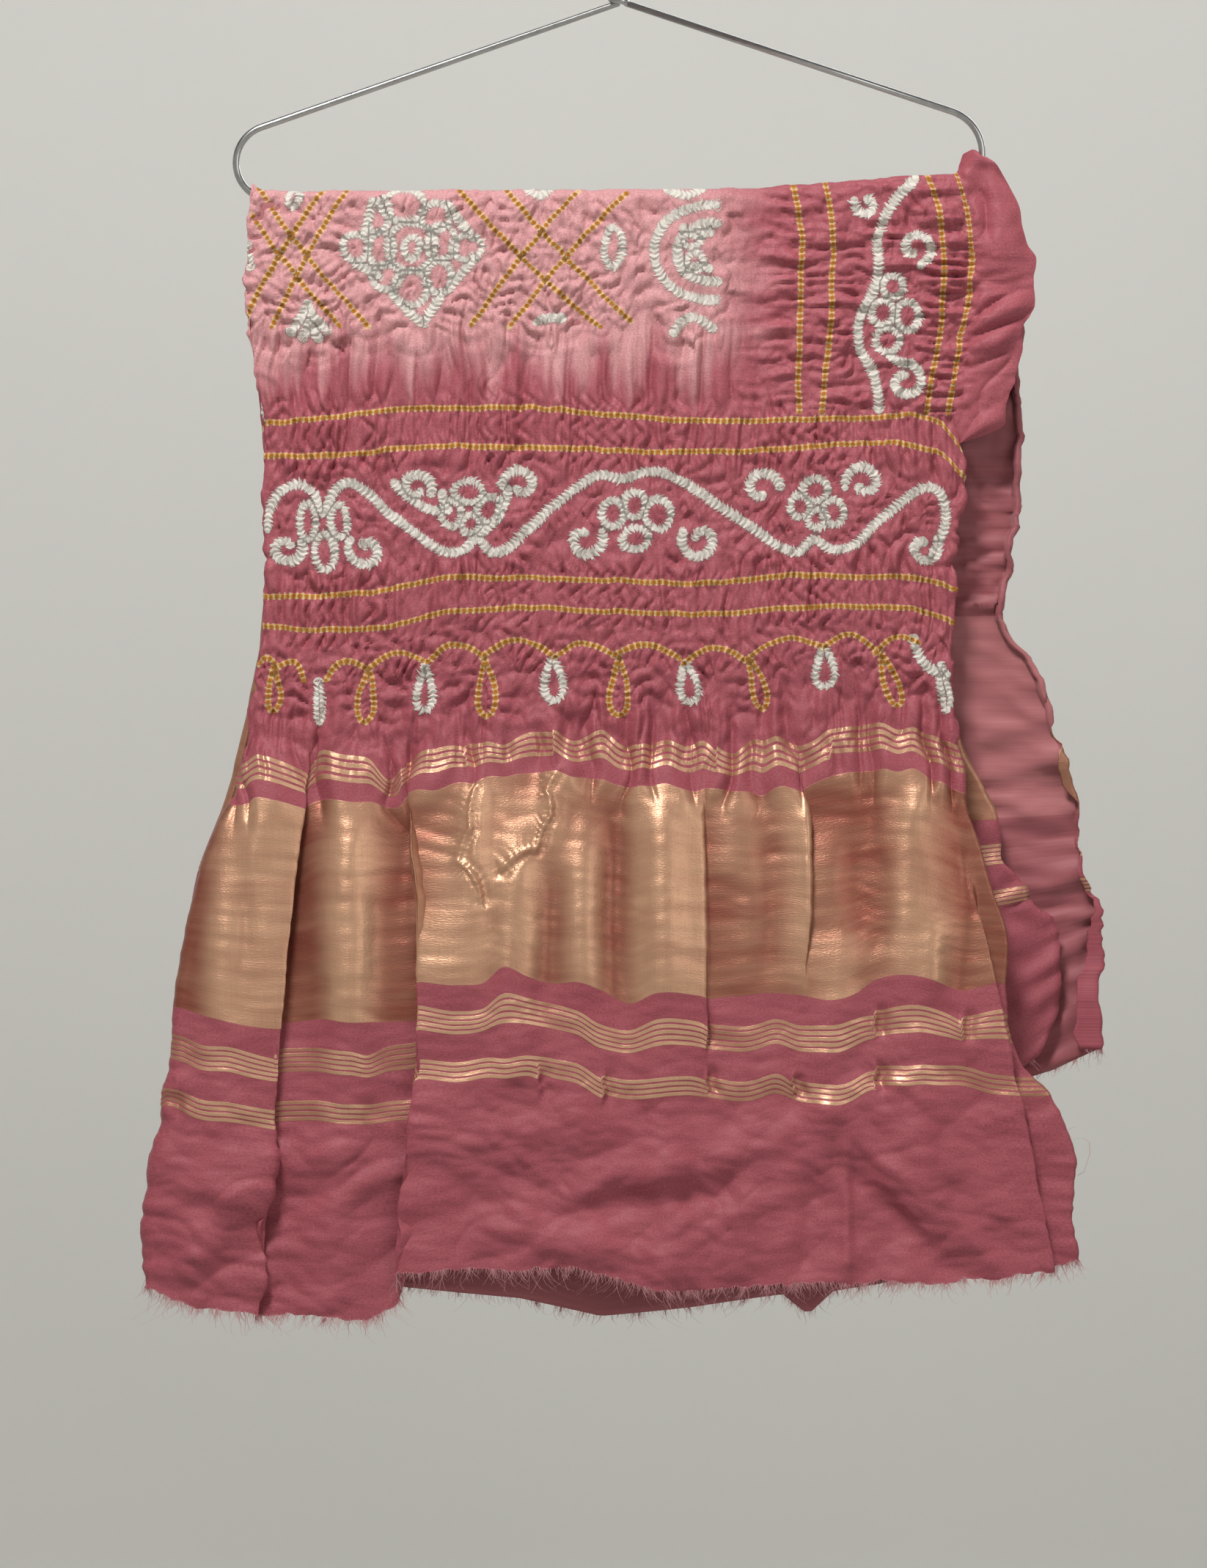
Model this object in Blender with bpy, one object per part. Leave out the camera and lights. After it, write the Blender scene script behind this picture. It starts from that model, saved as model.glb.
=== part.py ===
"""A bandhani cloth, folded once along its length and hung over the bar of a wire clothes hanger.

The cloth is one sheet. It is folded in half down its left side, so it has an outer and an inner layer,
and the doubled cloth lies over the bar with a long front fall and a shorter back fall.
Its upper part is drawn in by the tied dyeing, and its ends flare into loose folds below the gathers.
Lengths are in millimetres and are turned into metres where a mesh is made. X runs to the right as the
front is seen, Y runs away from the viewer and Z up. The origin is the inside of the hook's crown.
"""

import math
from collections import namedtuple

import bpy
import numpy as np

MM = 0.001

# The hanger's wire and its hook
WIRE_DIAMETER = 3.8
HOOK_RADIUS = 18.0 + WIRE_DIAMETER / 2
HOOK_PAST_LEVEL = 28.0
SHANK_DROP = 60.0
SHANK_PULL = 20.0
WIRE_SIDES_LEVEL = 3

# The neck, where the far arm's end is wound round the shank
NECK_DROP = 85.0
NECK_TURNS = 3.5
NECK_GAP = 0.4
NECK_POINTS_PER_TURN = 12

# The bends at the ends of the bar, as the centre and radius of the wire's own line
LEFT_BEND_X = -190.8
LEFT_BEND_RADIUS = 20.7
RIGHT_BEND_X = 176.6
RIGHT_BEND_RADIUS = 24.0
BAR_DROP = 192.3
BAR_RISE = 2.2

# The sheet
CLOTH_THICKNESS = 1.2
LAYER_GAP = 0.5
SEAT_GAP = 0.4
FRONT_FALL = 600.0
BACK_FALL = 509.0
MARGIN_WIDTH = 38.0
MARGIN_TURN_GAP = 3.6

# The crowns of the two layers, above the bar's own line
INNER_CROWN = WIRE_DIAMETER / 2 + SEAT_GAP + CLOTH_THICKNESS / 2
OUTER_CROWN = INNER_CROWN + CLOTH_THICKNESS + LAYER_GAP
INNER_SHOULDER = 4.5
OUTER_SHOULDER = 6.0

# The bunch of cloth pushed up against the right bend
BUNCH_START_X = 60.0
BUNCH_RISE = 7.5
BUNCH_PEAK = 11.0
BUNCH_FADE = 20.0

# The waves of the gathered part, of two pitches that drift against each other
GATHER_PITCH = 31.0
GATHER_SIDE_PITCH = 47.0
GATHER_HEIGHT = 1.3
GATHER_END = 300.0
HEM_RAGGED = 1.1

COLUMN_PITCH = 15.5
MARGIN_COLUMNS = 4
TURN_COLUMNS = 3
INNER_SHARES = (0, 0.14, 0.3, 0.43, 0.53, 0.64, 0.74, 0.78, 0.82, 0.91, 1)
PLEAT_SPREAD = (-1.1, -0.45, 0.45, 1.1)
TWIST_SPREAD = (-0.9, 0.0, 0.9)

# Each level gives, at a distance below the crown: the outer layer's left and right edge, how far it
# stands from the bar's plane, the inner layer's right edge and how far that stands out,
# and how far the margin spreads past the right edge.
Level = namedtuple("Level", "drop left right stand inner_right inner_stand margin")
FRONT_LEVELS = [
    Level(0, -202.5, 185.5, 6.6, 139.5, 4.6, 9.5),
    Level(6, -203.0, 187.0, 6.8, 140.0, 4.6, 18.0),
    Level(15, -203.8, 190.0, 7.2, 141.0, 4.8, 28.0),
    Level(32, -204.8, 193.0, 7.6, 142.0, 5.0, 33.5),
    Level(55, -206.0, 192.0, 8.0, 142.0, 5.0, 37.0),
    Level(78, -204.0, 190.0, 8.5, 141.0, 5.0, 33.0),
    Level(108, -199.3, 185.5, 9.0, 139.0, 5.0, 30.0),
    Level(127, -195.8, 184.0, 9.5, 138.0, 5.0, 27.0),
    Level(143, -195.8, 187.0, 9.8, 138.0, 5.0, 18.0),
    Level(160, -196.4, 189.0, 10.0, 138.0, 5.0, 12.0),
    Level(192, -194.8, 184.0, 10.4, 136.0, 5.0, 12.0),
    Level(222, -194.8, 182.5, 10.8, 134.0, 5.0, 12.0),
    Level(261, -198.9, 182.0, 11.2, 134.0, 5.0, 12.0),
    Level(294, -205.0, 183.5, 12.5, 136.0, 5.5, 12.0),
    Level(329, -211.5, 187.5, 17.5, 140.0, 6.5, 12.0),
    Level(371, -228.0, 200.0, 23.0, 152.0, 8.0, 12.0),
    Level(409, -239.0, 213.0, 26.5, 164.0, 9.0, 12.0),
    Level(442, -244.5, 215.5, 28.0, 168.0, 9.5, 12.0),
    Level(475, -245.8, 221.0, 28.5, 174.0, 10.0, 12.0),
    Level(508, -250.7, 237.0, 29.0, 190.0, 10.5, 12.0),
    Level(540, -257.5, 247.5, 29.5, 199.0, 11.0, 12.0),
    Level(575, -261.2, 248.0, 30.0, 201.0, 11.5, 12.0),
    Level(600, -261.0, 252.0, 30.0, 204.0, 12.0, 12.0),
]
BACK_LEVELS = [
    Level(0, -202.5, 185.5, 6.6, 139.5, 4.6, 9.5),
    Level(12, -203.5, 188.0, 7.0, 140.5, 4.8, 16.0),
    Level(35, -205.0, 190.0, 7.6, 142.0, 5.0, 25.0),
    Level(70, -204.5, 189.0, 8.2, 145.0, 5.0, 31.0),
    Level(110, -199.5, 187.0, 9.0, 150.0, 5.0, 34.0),
    Level(150, -196.2, 186.0, 9.8, 157.0, 5.0, 34.0),
    Level(200, -195.0, 182.0, 10.6, 166.0, 5.0, 34.0),
    Level(240, -198.0, 180.0, 12.0, 176.0, 5.2, 33.5),
    Level(262, -201.0, 192.0, 14.5, 181.0, 5.6, 37.0),
    Level(300, -209.0, 199.0, 18.0, 189.0, 6.4, 42.0),
    Level(340, -220.0, 207.0, 21.0, 207.0, 7.5, 46.0),
    Level(382, -235.0, 208.0, 23.0, 217.0, 8.5, 45.0),
    Level(421, -241.0, 216.0, 24.0, 238.0, 9.0, 49.0),
    Level(460, -242.0, 218.0, 24.5, 244.0, 9.5, 48.0),
    Level(509, -240.0, 217.0, 25.0, 236.0, 10.0, 47.0),
]

# How far the frayed hem lies below the crown at places across each layer
Hem = namedtuple("Hem", "x drop")
FRONT_OUTER_HEM = [
    Hem(-261, 604), Hem(-228, 613), Hem(-178, 618), Hem(-140, 620), Hem(-118, 592),
    Hem(-70, 593), Hem(-26, 591), Hem(22, 604), Hem(51, 602), Hem(123, 600),
    Hem(165, 599), Hem(203, 598), Hem(252, 588),
]
FRONT_INNER_HEM = [
    Hem(-261, 596), Hem(-140, 600), Hem(-55, 608), Hem(-10, 618), Hem(40, 613),
    Hem(90, 606), Hem(104, 617), Hem(118, 604), Hem(204, 590),
]
BACK_OUTER_HEM = [Hem(-242, 505), Hem(100, 512), Hem(200, 500), Hem(240, 486), Hem(266, 473)]
BACK_INNER_HEM = [Hem(-240, 500), Hem(100, 505), Hem(200, 493), Hem(229, 481), Hem(244, 470)]

# The main folds of the front fall. Each runs down past three places: under the gathers, at the middle
# of the gold band and at the hem. A tube is a rounded ridge, and a twist is a narrow one with columns of
# its own. They start and end at the drops given. A pleat folds the cloth over itself, and
# its front side is the side of the fold that lies on top: -1 is the left and 1 the right.
# A dip is how far the cloth is drawn down with the fold.
Tube = namedtuple("Tube", "name gather middle hem start end width height")
TUBES = [
    Tube("left side", -196, -210, -236, 290, 640, 17, 6.0),
    Tube("left", -148, -148, -158, 290, 640, 16, 5.0),
    Tube("centre left", -54, -54, -50, 320, 520, 14, 4.0),
    Tube("centre", -20, -16, -14, 330, 640, 12, 3.0),
    Tube("centre right", 18, 22, 26, 300, 640, 13, 5.0),
    Tube("right", 96, 118, 98, 330, 640, 14, 4.0),
    Tube("far right", 156, 162, 168, 300, 640, 17, 5.0),
]
TWISTS = [
    Tube("long twist", -78, -80, -78, 294, 410, 8, 5.0),
    Tube("short twist", -40, -32, -28, 294, 385, 8, 4.0),
]
BACK_TUBES = [
    Tube("left", -182, -204, -206, 262, 540, 17, 4.0),
    Tube("centre left", -116, -128, -134, 262, 540, 20, 4.5),
    Tube("centre", -40, -44, -30, 275, 540, 24, 3.5),
    Tube("centre right", 34, 52, 64, 262, 540, 18, 4.5),
    Tube("right", 104, 128, 132, 270, 540, 20, 4.0),
    Tube("far right", 158, 184, 196, 262, 540, 13, 3.0),
]
Pleat = namedtuple("Pleat", "name gather middle hem start end width overlap step front dip")
PLEATS = [
    Pleat("left pleat", -168, -185, -198, 290, 640, 10.0, 1.9, 4.4, -1, 3.0),
    Pleat("centre pleat", -122, -107, -121, 310, 640, 12.0, 2.1, 4.6, 1, 6.0),
    Pleat("thin crease", 45, 48, 46, 305, 500, 7.0, 1.1, 3.0, -1, 1.5),
    Pleat("right pleat", 101, 102, 100, 296, 455, 9.0, 1.7, 4.0, -1, 5.0),
    Pleat("side pleat", 176, 204, 238, 360, 640, 8.5, 1.7, 4.0, -1, 2.0),
]
GATHER_LINE = 294.0
BAND_MIDDLE = 430.0

# Soft ridges, and dents where the height is negative, across the plain cloth above the front hem
Ridge = namedtuple("Ridge", "name x drop angle length width height")
RIDGES = [
    Ridge("left corner", -230, 530, -22, 45, 11, 2.5),
    Ridge("under the left stripes", -165, 500, 8, 55, 9, -2.0),
    Ridge("centre upper", -52, 522, 6, 60, 10, 2.2),
    Ridge("centre dent", -62, 560, 10, 55, 11, -2.5),
    Ridge("centre rising", 55, 567, 33, 60, 13, 3.0),
    Ridge("right falling", 182, 540, -37, 75, 13, 4.0),
    Ridge("right corner dent", 150, 575, -30, 55, 11, -2.5),
]


def curve_through(stations, values, at):
    """The smooth curve through values at stations: cubics whose slopes come from the neighbours."""
    stations = np.asarray(stations, float)
    values = np.asarray(values, float)
    at = np.clip(at, stations[0], stations[-1])
    slopes = np.gradient(values, stations)
    i = np.clip(np.searchsorted(stations, at, side="right") - 1, 0, len(stations) - 2)
    span = stations[i + 1] - stations[i]
    t = (at - stations[i]) / span
    start = (1 + 2 * t) * (1 - t) ** 2 * values[i] + t * (1 - t) ** 2 * span * slopes[i]
    end = t * t * (3 - 2 * t) * values[i + 1] + t * t * (t - 1) * span * slopes[i + 1]
    return start + end


def ramp(value, low, high):
    """0 below low, 1 above high, and a smooth step between them."""
    t = np.clip((value - low) / (high - low), 0, 1)
    return t * t * (3 - 2 * t)


def level_value(levels, column, drop):
    """One column of a table of levels, read at these drops."""
    return curve_through([level.drop for level in levels], [getattr(level, column) for level in levels], drop)


def hem_drop(hem, x):
    return np.interp(x, [place.x for place in hem], [place.drop for place in hem])


def fold_line(fold, drop):
    """Where a fold of the front lies across, at these drops."""
    return curve_through([GATHER_LINE, BAND_MIDDLE, FRONT_FALL], [fold.gather, fold.middle, fold.hem], drop)


def shoulder(drop, height):
    """The share of its full stand that a layer has near the crown: a quarter of an ellipse."""
    return np.sqrt(1 - (1 - np.clip(drop / height, 0, 1)) ** 2)


def bar_line(x):
    """The height of the bar's own line, which rises a little to the right."""
    return BAR_RISE * (x - LEFT_BEND_X) / (RIGHT_BEND_X - LEFT_BEND_X) - BAR_DROP


def crown_line(x, crown):
    """The height of a layer's crown over the bar, climbing with the left bend on a smaller radius."""
    radius = LEFT_BEND_RADIUS - crown
    past = np.clip(LEFT_BEND_X - x, 0, 0.9 * radius)
    return bar_line(x) + crown + radius - np.sqrt(radius**2 - past**2)


def drape_top(x, crown, drop):
    """The crown's line near the top, easing into a level line further down."""
    level = crown - BAR_DROP
    return level + (crown_line(x, crown) - level) * np.exp(-drop / 12)


def bunch_rise(x, share, drop):
    """How far the cloth is pushed up beside the right bend. Share runs across the margin from 0 to 1."""
    rise = BUNCH_RISE * ramp(x, BUNCH_START_X, 186.0) + BUNCH_PEAK * ramp(share, 0, 0.6)
    return rise * np.exp(-((drop / BUNCH_FADE) ** 2))


def raised(tubes, x, drop):
    """How far these rounded ridges raise the cloth."""
    out = np.zeros_like(x)
    for tube in tubes:
        t = (x - fold_line(tube, drop)) / tube.width
        grown = ramp(drop, tube.start, tube.start + 50) * (1 - ramp(drop, tube.end - 50, tube.end))
        out += grown * tube.height * np.exp(-t * t)
    return out


def skirt_folds(x, drop):
    """The folds' and ridges' moves across, out and down for the front layer, from its place across."""
    across, out, down = np.zeros_like(x), raised(TUBES + TWISTS, x, drop), np.zeros_like(x)
    for ridge in RIDGES:
        angle = math.radians(ridge.angle)
        dx, dz = x - ridge.x, ridge.drop - drop
        along = (dx * math.cos(angle) + dz * math.sin(angle)) / ridge.length
        beside = (dz * math.cos(angle) - dx * math.sin(angle)) / ridge.width
        out += ridge.height * np.exp(-along * along - beside * beside)
    for pleat in PLEATS:
        t = (x - fold_line(pleat, drop)) / pleat.width
        grown = ramp(drop, pleat.start, pleat.start + 55) * (1 - ramp(drop, pleat.end - 60, pleat.end))
        across -= grown * pleat.overlap * pleat.width * t * np.exp(-t * t)
        out += grown * pleat.front * pleat.step * np.tanh(2 * t) * np.exp(-((t / 2.6) ** 2))
        down += grown * pleat.dip * np.exp(-((t / 1.5) ** 2))
    return across, out, down


def fold_reach(levels, drop):
    """How far the fold down the left side reaches past the layers' own edges."""
    apart = 0.8 * level_value(levels, "stand", drop) - level_value(levels, "inner_stand", drop)
    return np.clip(apart / 2, 0.8, 6.0)


def left_edge(levels, drop):
    return level_value(levels, "left", drop) + fold_reach(levels, drop)


def fold_shares():
    """The shares of the outer layer's width at which the pleats and twists lie, from left to right."""
    low = float(left_edge(FRONT_LEVELS, BAND_MIDDLE))
    high = float(level_value(FRONT_LEVELS, "right", BAND_MIDDLE))
    folds = sorted(PLEATS + TWISTS, key=lambda fold: fold.middle)
    return [(fold, (float(fold_line(fold, BAND_MIDDLE)) - low) / (high - low)) for fold in folds]


def place_across(share, drop, front):
    """Where a share of the outer layer lies across. Columns keep to the front's folds all the way down."""
    levels = FRONT_LEVELS if front else BACK_LEVELS
    left, right = left_edge(levels, drop), level_value(levels, "right", drop)
    if not front:
        return left + (right - left) * share
    shares, places = [0.0], [left]
    for fold, own in fold_shares():
        shares.append(own)
        places.append(fold_line(fold, drop))
    shares.append(1.0)
    places.append(right)
    x = left + 0 * share
    for low, high, start, end in zip(shares, shares[1:], places, places[1:]):
        x = x + (end - start) * np.clip((share - low) / (high - low), 0, 1)
    folded = ramp(drop, 200.0, GATHER_LINE)
    return left + (right - left) * share + (x - left - (right - left) * share) * folded


def outer_layer(share, drop, front):
    """Points of the outer layer, from its left edge at share 0 to its right edge at share 1."""
    levels = FRONT_LEVELS if front else BACK_LEVELS
    x = place_across(share, drop, front)
    stand = level_value(levels, "stand", drop) * (0.8 + 0.2 * (1 - (2 * share - 1) ** 4))
    gathered = ramp(drop, 4, 30) * (1 - ramp(drop, GATHER_END - 60, GATHER_END + 30))
    wave = 0.5 + 0.3 * np.cos(2 * math.pi * x / GATHER_PITCH + 1.1 * np.sin(drop / 47))
    wave = wave + 0.2 * np.cos(2 * math.pi * x / GATHER_SIDE_PITCH - 1.4 * np.sin(drop / 71))
    stand = stand + GATHER_HEIGHT * gathered * wave
    z = drape_top(x, OUTER_CROWN, drop) - drop + bunch_rise(x, 0 * x, drop) + 0.5 * wave * np.exp(-drop / 6)
    fall, hem = (FRONT_FALL, FRONT_OUTER_HEM) if front else (BACK_FALL, BACK_OUTER_HEM)
    z = z - (hem_drop(hem, x) - fall) * ramp(drop, GATHER_LINE, fall)
    if front:
        across, out, down = skirt_folds(x, drop)
        x, stand, z = x + across, stand + out, z - down
    else:
        stand = stand + raised(BACK_TUBES, x, drop)
    y = (-1 if front else 1) * stand * shoulder(drop, OUTER_SHOULDER)
    return np.stack([x, y, z], -1)


def margin(share, drop, front):
    """Points of the plain margin past the right edge. It spreads as a flap in the upper part of the
    front and behind it lies turned under, and on the back it hangs flat all the way down."""
    levels = FRONT_LEVELS if front else BACK_LEVELS
    edge = outer_layer(np.ones_like(share), drop, front)
    rise = bunch_rise(edge[..., 0], share, drop) - bunch_rise(edge[..., 0], 0 * share, drop)
    puff = 5.0 * np.sin(math.pi * np.clip(share, 0, 1)) * ramp(drop, 6, 40)
    spread = level_value(levels, "margin", drop) * share
    side = -1 if front else 1
    flat = edge + np.stack([spread, side * puff * 0.8 * (1 - 0.6 * (not front)), rise], -1)
    if not front:
        x = flat[..., 0]
        drift = (hem_drop(BACK_OUTER_HEM, x) - hem_drop(BACK_OUTER_HEM, edge[..., 0])) * ramp(drop, GATHER_LINE, BACK_FALL)
        return flat - np.stack([0 * x, 6.0 * share * ramp(drop, 240, 320), drift], -1)
    turned = ramp(drop, 128, 156)
    angle = math.pi * np.clip(share * MARGIN_WIDTH / (math.pi * MARGIN_TURN_GAP / 2), 0, 1)
    back = np.clip(share * MARGIN_WIDTH - math.pi * MARGIN_TURN_GAP / 2, 0, None)
    around = np.sin(angle) * MARGIN_TURN_GAP / 2 - back
    behind = (1 - np.cos(angle)) * MARGIN_TURN_GAP / 2
    under = edge + np.stack([around, behind, 0 * share], -1)
    return flat + (under - flat) * turned[..., None]


def inner_layer(share, drop, front):
    """Points of the inner layer, from the left fold at share 0 to its right edge at share 1."""
    levels = FRONT_LEVELS if front else BACK_LEVELS
    left = left_edge(levels, drop)
    x = left + (level_value(levels, "inner_right", drop) - left) * share
    loose = ramp(drop, GATHER_LINE, GATHER_LINE + 80)
    stand = level_value(levels, "inner_stand", drop) + 1.6 * loose * np.sin(x / 17 + drop / 90)
    fall, hem = (FRONT_FALL, FRONT_INNER_HEM) if front else (BACK_FALL, BACK_INNER_HEM)
    z = drape_top(x, INNER_CROWN, drop) - drop - (hem_drop(hem, x) - fall) * ramp(drop, GATHER_LINE, fall)
    y = (-1 if front else 1) * stand * shoulder(drop, INNER_SHOULDER)
    return np.stack([x, y, z], -1)


def left_turn(share, drop, front):
    """Points of the fold down the left side: half a turn from the outer layer to the inner one."""
    outer = outer_layer(np.zeros_like(share), drop, front)
    inner = inner_layer(np.zeros_like(share), drop, front)
    middle, half = (outer + inner) / 2, (outer - inner) / 2
    angle = math.pi * share
    out = fold_reach(FRONT_LEVELS if front else BACK_LEVELS, drop) * np.sin(angle)
    edge = middle[..., 0]
    climb = (crown_line(edge - out, INNER_CROWN) - crown_line(edge, INNER_CROWN)) * np.exp(-drop / 12)
    return middle + half * np.cos(angle)[..., None] + np.stack([-out, 0 * out, climb], -1)


def outer_shares():
    """Places of the outer layer's columns: evenly spaced, and closer together at each fold."""
    width = FRONT_LEVELS[-1].right - FRONT_LEVELS[-1].left
    places = list(np.linspace(0, 1, round(width / COLUMN_PITCH) + 1))
    for fold, centre in fold_shares():
        spread = PLEAT_SPREAD if fold in PLEATS else TWIST_SPREAD
        own = [centre + step * fold.width / width for step in spread]
        near = 0.5 * COLUMN_PITCH / width
        places = [p for p in places if p in (0.0, 1.0) or min(abs(p - q) for q in own) > near] + own
    return sorted(places)


def cloth_columns():
    """Every column of the sheet from the margin's edge round to the inner layer's edge."""
    columns = [(margin, share) for share in np.linspace(1, 0, MARGIN_COLUMNS + 1)[:-1]]
    columns += [(outer_layer, share) for share in reversed(outer_shares())]
    columns += [(left_turn, share) for share in np.linspace(0, 1, TURN_COLUMNS + 2)[1:-1]]
    columns += [(inner_layer, share) for share in INNER_SHARES]
    return columns


FRONT_ROWS = [
    0, 0.9, 3, 6, 14, 28, 50, 75, 100, 124, 136, 150, 175, 205, 235, 265, 290, 312, 334, 358,
    384, 412, 440, 468, 496, 526, 560, FRONT_FALL,
]
BACK_ROWS = [0.9, 3, 6, 28, 75, 130, 190, 240, 275, 330, 385, 440, BACK_FALL]


def cloth_points():
    """The sheet's middle surface as rows of points, from the back hem over the bar to the front hem."""
    rows = [(drop, False) for drop in reversed(BACK_ROWS)] + [(drop, True) for drop in FRONT_ROWS]
    columns = cloth_columns()
    grid = np.zeros((len(rows), len(columns), 3))
    for i, (drop, front) in enumerate(rows):
        for j, (layer, share) in enumerate(columns):
            grid[i, j] = layer(np.array([float(share)]), np.array([float(drop)]), front)[0]
    uneven = HEM_RAGGED * np.sin(2.4 * np.arange(len(columns)) ** 1.3)
    grid[0, :, 2] += uneven
    grid[-1, :, 2] += uneven
    return grid


def finish(name, colour, roughness, metallic):
    """A plain finish for the model's own views."""
    material = bpy.data.materials.new(name)
    material.use_nodes = True
    shader = material.node_tree.nodes["Principled BSDF"]
    shader.inputs["Base Color"].default_value = (*colour, 1)
    shader.inputs["Roughness"].default_value = roughness
    shader.inputs["Metallic"].default_value = metallic
    return material


def make_cloth():
    """The cloth as one closed sheet: the grid of points, given its thickness to both sides."""
    grid = cloth_points() * MM
    rows, columns = grid.shape[:2]
    corner = np.arange(rows * columns).reshape(rows, columns)
    faces = np.stack([corner[:-1, :-1], corner[1:, :-1], corner[1:, 1:], corner[:-1, 1:]], -1).reshape(-1, 4)
    mesh = bpy.data.meshes.new("bandhani_cloth")
    mesh.from_pydata(grid.reshape(-1, 3).tolist(), [], faces.tolist())
    mesh.shade_smooth()
    mesh.materials.append(finish("rose silk satin", (0.45, 0.13, 0.17), 0.45, 0.0))
    cloth = bpy.data.objects.new("bandhani_cloth", mesh)
    bpy.context.scene.collection.objects.link(cloth)
    thicken = cloth.modifiers.new("thickness", "SOLIDIFY")
    thicken.thickness = CLOTH_THICKNESS * MM
    thicken.offset = 0
    return cloth


def arc(centre, radius, start, end, count):
    """Points of an arc in the hanger's plane. Angles are in degrees from the right, turning left."""
    angles = np.radians(np.linspace(start, end, count))
    return [(centre[0] + radius * math.cos(a), 0.0, centre[1] + radius * math.sin(a)) for a in angles]


def tangent_angle(apex, centre, radius, side):
    """The angle on a bend's circle where a straight arm from the apex runs into it."""
    towards = math.atan2(apex[1] - centre[1], apex[0] - centre[0])
    return math.degrees(towards + side * math.acos(radius / math.dist(apex, centre)))


def shank(count):
    """The S curve from the neck up to the hook's right side, as a cubic with upright ends."""
    hook_centre = WIRE_DIAMETER / 2 - HOOK_RADIUS
    xs = (HOOK_RADIUS, HOOK_RADIUS, 0.0, 0.0)
    zs = (hook_centre, hook_centre - SHANK_PULL, SHANK_PULL - SHANK_DROP, -SHANK_DROP)
    points = []
    for t in np.linspace(0, 1, count):
        weights = ((1 - t) ** 3, 3 * t * (1 - t) ** 2, 3 * t * t * (1 - t), t**3)
        points.append((np.dot(weights, xs), 0.0, np.dot(weights, zs)))
    return points


def wire_path():
    """The wire's own line: hook, shank, left arm, bar, right arm, and the turns round the shank."""
    left_centre = (LEFT_BEND_X, LEFT_BEND_RADIUS - BAR_DROP)
    right_centre = (RIGHT_BEND_X, RIGHT_BEND_RADIUS + BAR_RISE - BAR_DROP)
    left_start = tangent_angle((0.0, -NECK_DROP), left_centre, LEFT_BEND_RADIUS, 1)
    turn_radius = WIRE_DIAMETER + NECK_GAP
    neck_side = (turn_radius, -NECK_DROP)
    right_end = tangent_angle(neck_side, right_centre, RIGHT_BEND_RADIUS, -1)
    points = arc((0.0, WIRE_DIAMETER / 2 - HOOK_RADIUS), HOOK_RADIUS, 180 + HOOK_PAST_LEVEL, 0, 22)
    points += shank(10)[1:]
    points += [(0.0, 0.0, -NECK_DROP + 5.0), (-1.0, 0.0, -NECK_DROP + 1.2)]
    points += arc(left_centre, LEFT_BEND_RADIUS, left_start, 270, 14)
    points += arc(right_centre, RIGHT_BEND_RADIUS, -90, right_end, 14)
    pitch = WIRE_DIAMETER + NECK_GAP
    count = int(NECK_TURNS * NECK_POINTS_PER_TURN)
    for turn in np.linspace(0, NECK_TURNS, count):
        angle = 2 * math.pi * turn
        height = -NECK_DROP + 1.5 + pitch * turn
        points.append((turn_radius * math.cos(angle), -turn_radius * math.sin(angle), height))
    return points


def make_wire():
    """The hanger as one bent wire, round all the way along and closed at both ends."""
    curve = bpy.data.curves.new("hanger_wire", "CURVE")
    curve.dimensions = "3D"
    curve.bevel_depth = WIRE_DIAMETER / 2 * MM
    curve.bevel_resolution = WIRE_SIDES_LEVEL
    curve.use_fill_caps = True
    points = wire_path()
    spline = curve.splines.new("POLY")
    spline.points.add(len(points) - 1)
    for place, point in zip(spline.points, points):
        place.co = (*(MM * c for c in point), 1)
    curve.materials.append(finish("bright drawn steel wire", (0.62, 0.62, 0.63), 0.28, 1.0))
    wire = bpy.data.objects.new("hanger_wire", curve)
    bpy.context.scene.collection.objects.link(wire)
    return wire


def main():
    for old in list(bpy.data.objects):
        bpy.data.objects.remove(old)
    make_wire()
    make_cloth()


main()
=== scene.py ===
"""Looks of a bandhani cloth: silk satin with woven gold bands and tie-dyed lines, hung over a wire hanger.

The cloth's fine surface is worked out from the same sizes as its solid. Small puckers, creases and the
crimps of the tied lines are moves along that surface's normals, and the dyed and woven pattern is drawn
from distances to lines and shapes that are given by their sizes. Lengths in the tables are millimetres.
X runs to the right as the front is seen, Y away from the viewer and Z up, from the hook's inside.
"""

import math
from collections import namedtuple

import bpy
import numpy as np
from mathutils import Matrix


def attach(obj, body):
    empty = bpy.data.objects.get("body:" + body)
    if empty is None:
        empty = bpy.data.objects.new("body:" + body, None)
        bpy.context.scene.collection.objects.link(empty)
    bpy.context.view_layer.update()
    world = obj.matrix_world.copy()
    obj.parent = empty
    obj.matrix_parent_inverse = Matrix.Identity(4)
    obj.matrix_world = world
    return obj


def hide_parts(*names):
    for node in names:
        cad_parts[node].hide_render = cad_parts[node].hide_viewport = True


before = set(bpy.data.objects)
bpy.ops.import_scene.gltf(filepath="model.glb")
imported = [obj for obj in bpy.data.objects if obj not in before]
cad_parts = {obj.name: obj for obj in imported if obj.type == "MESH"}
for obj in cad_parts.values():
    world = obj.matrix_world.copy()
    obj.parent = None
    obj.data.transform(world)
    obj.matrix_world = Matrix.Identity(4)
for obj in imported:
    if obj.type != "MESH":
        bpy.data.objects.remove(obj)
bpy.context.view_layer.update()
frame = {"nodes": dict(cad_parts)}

bl_info = {
    "name": "Bandhani Cloth",
    "version": (1, 0, 0),
    "blender": (4, 5, 0),
    "location": "3D View > Sidebar > Bandhani",
    "description": "Builds a tie-dyed silk cloth with gold bands, hung over a wire hanger",
    "category": "Add Mesh",
}

MM = 0.001

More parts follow.
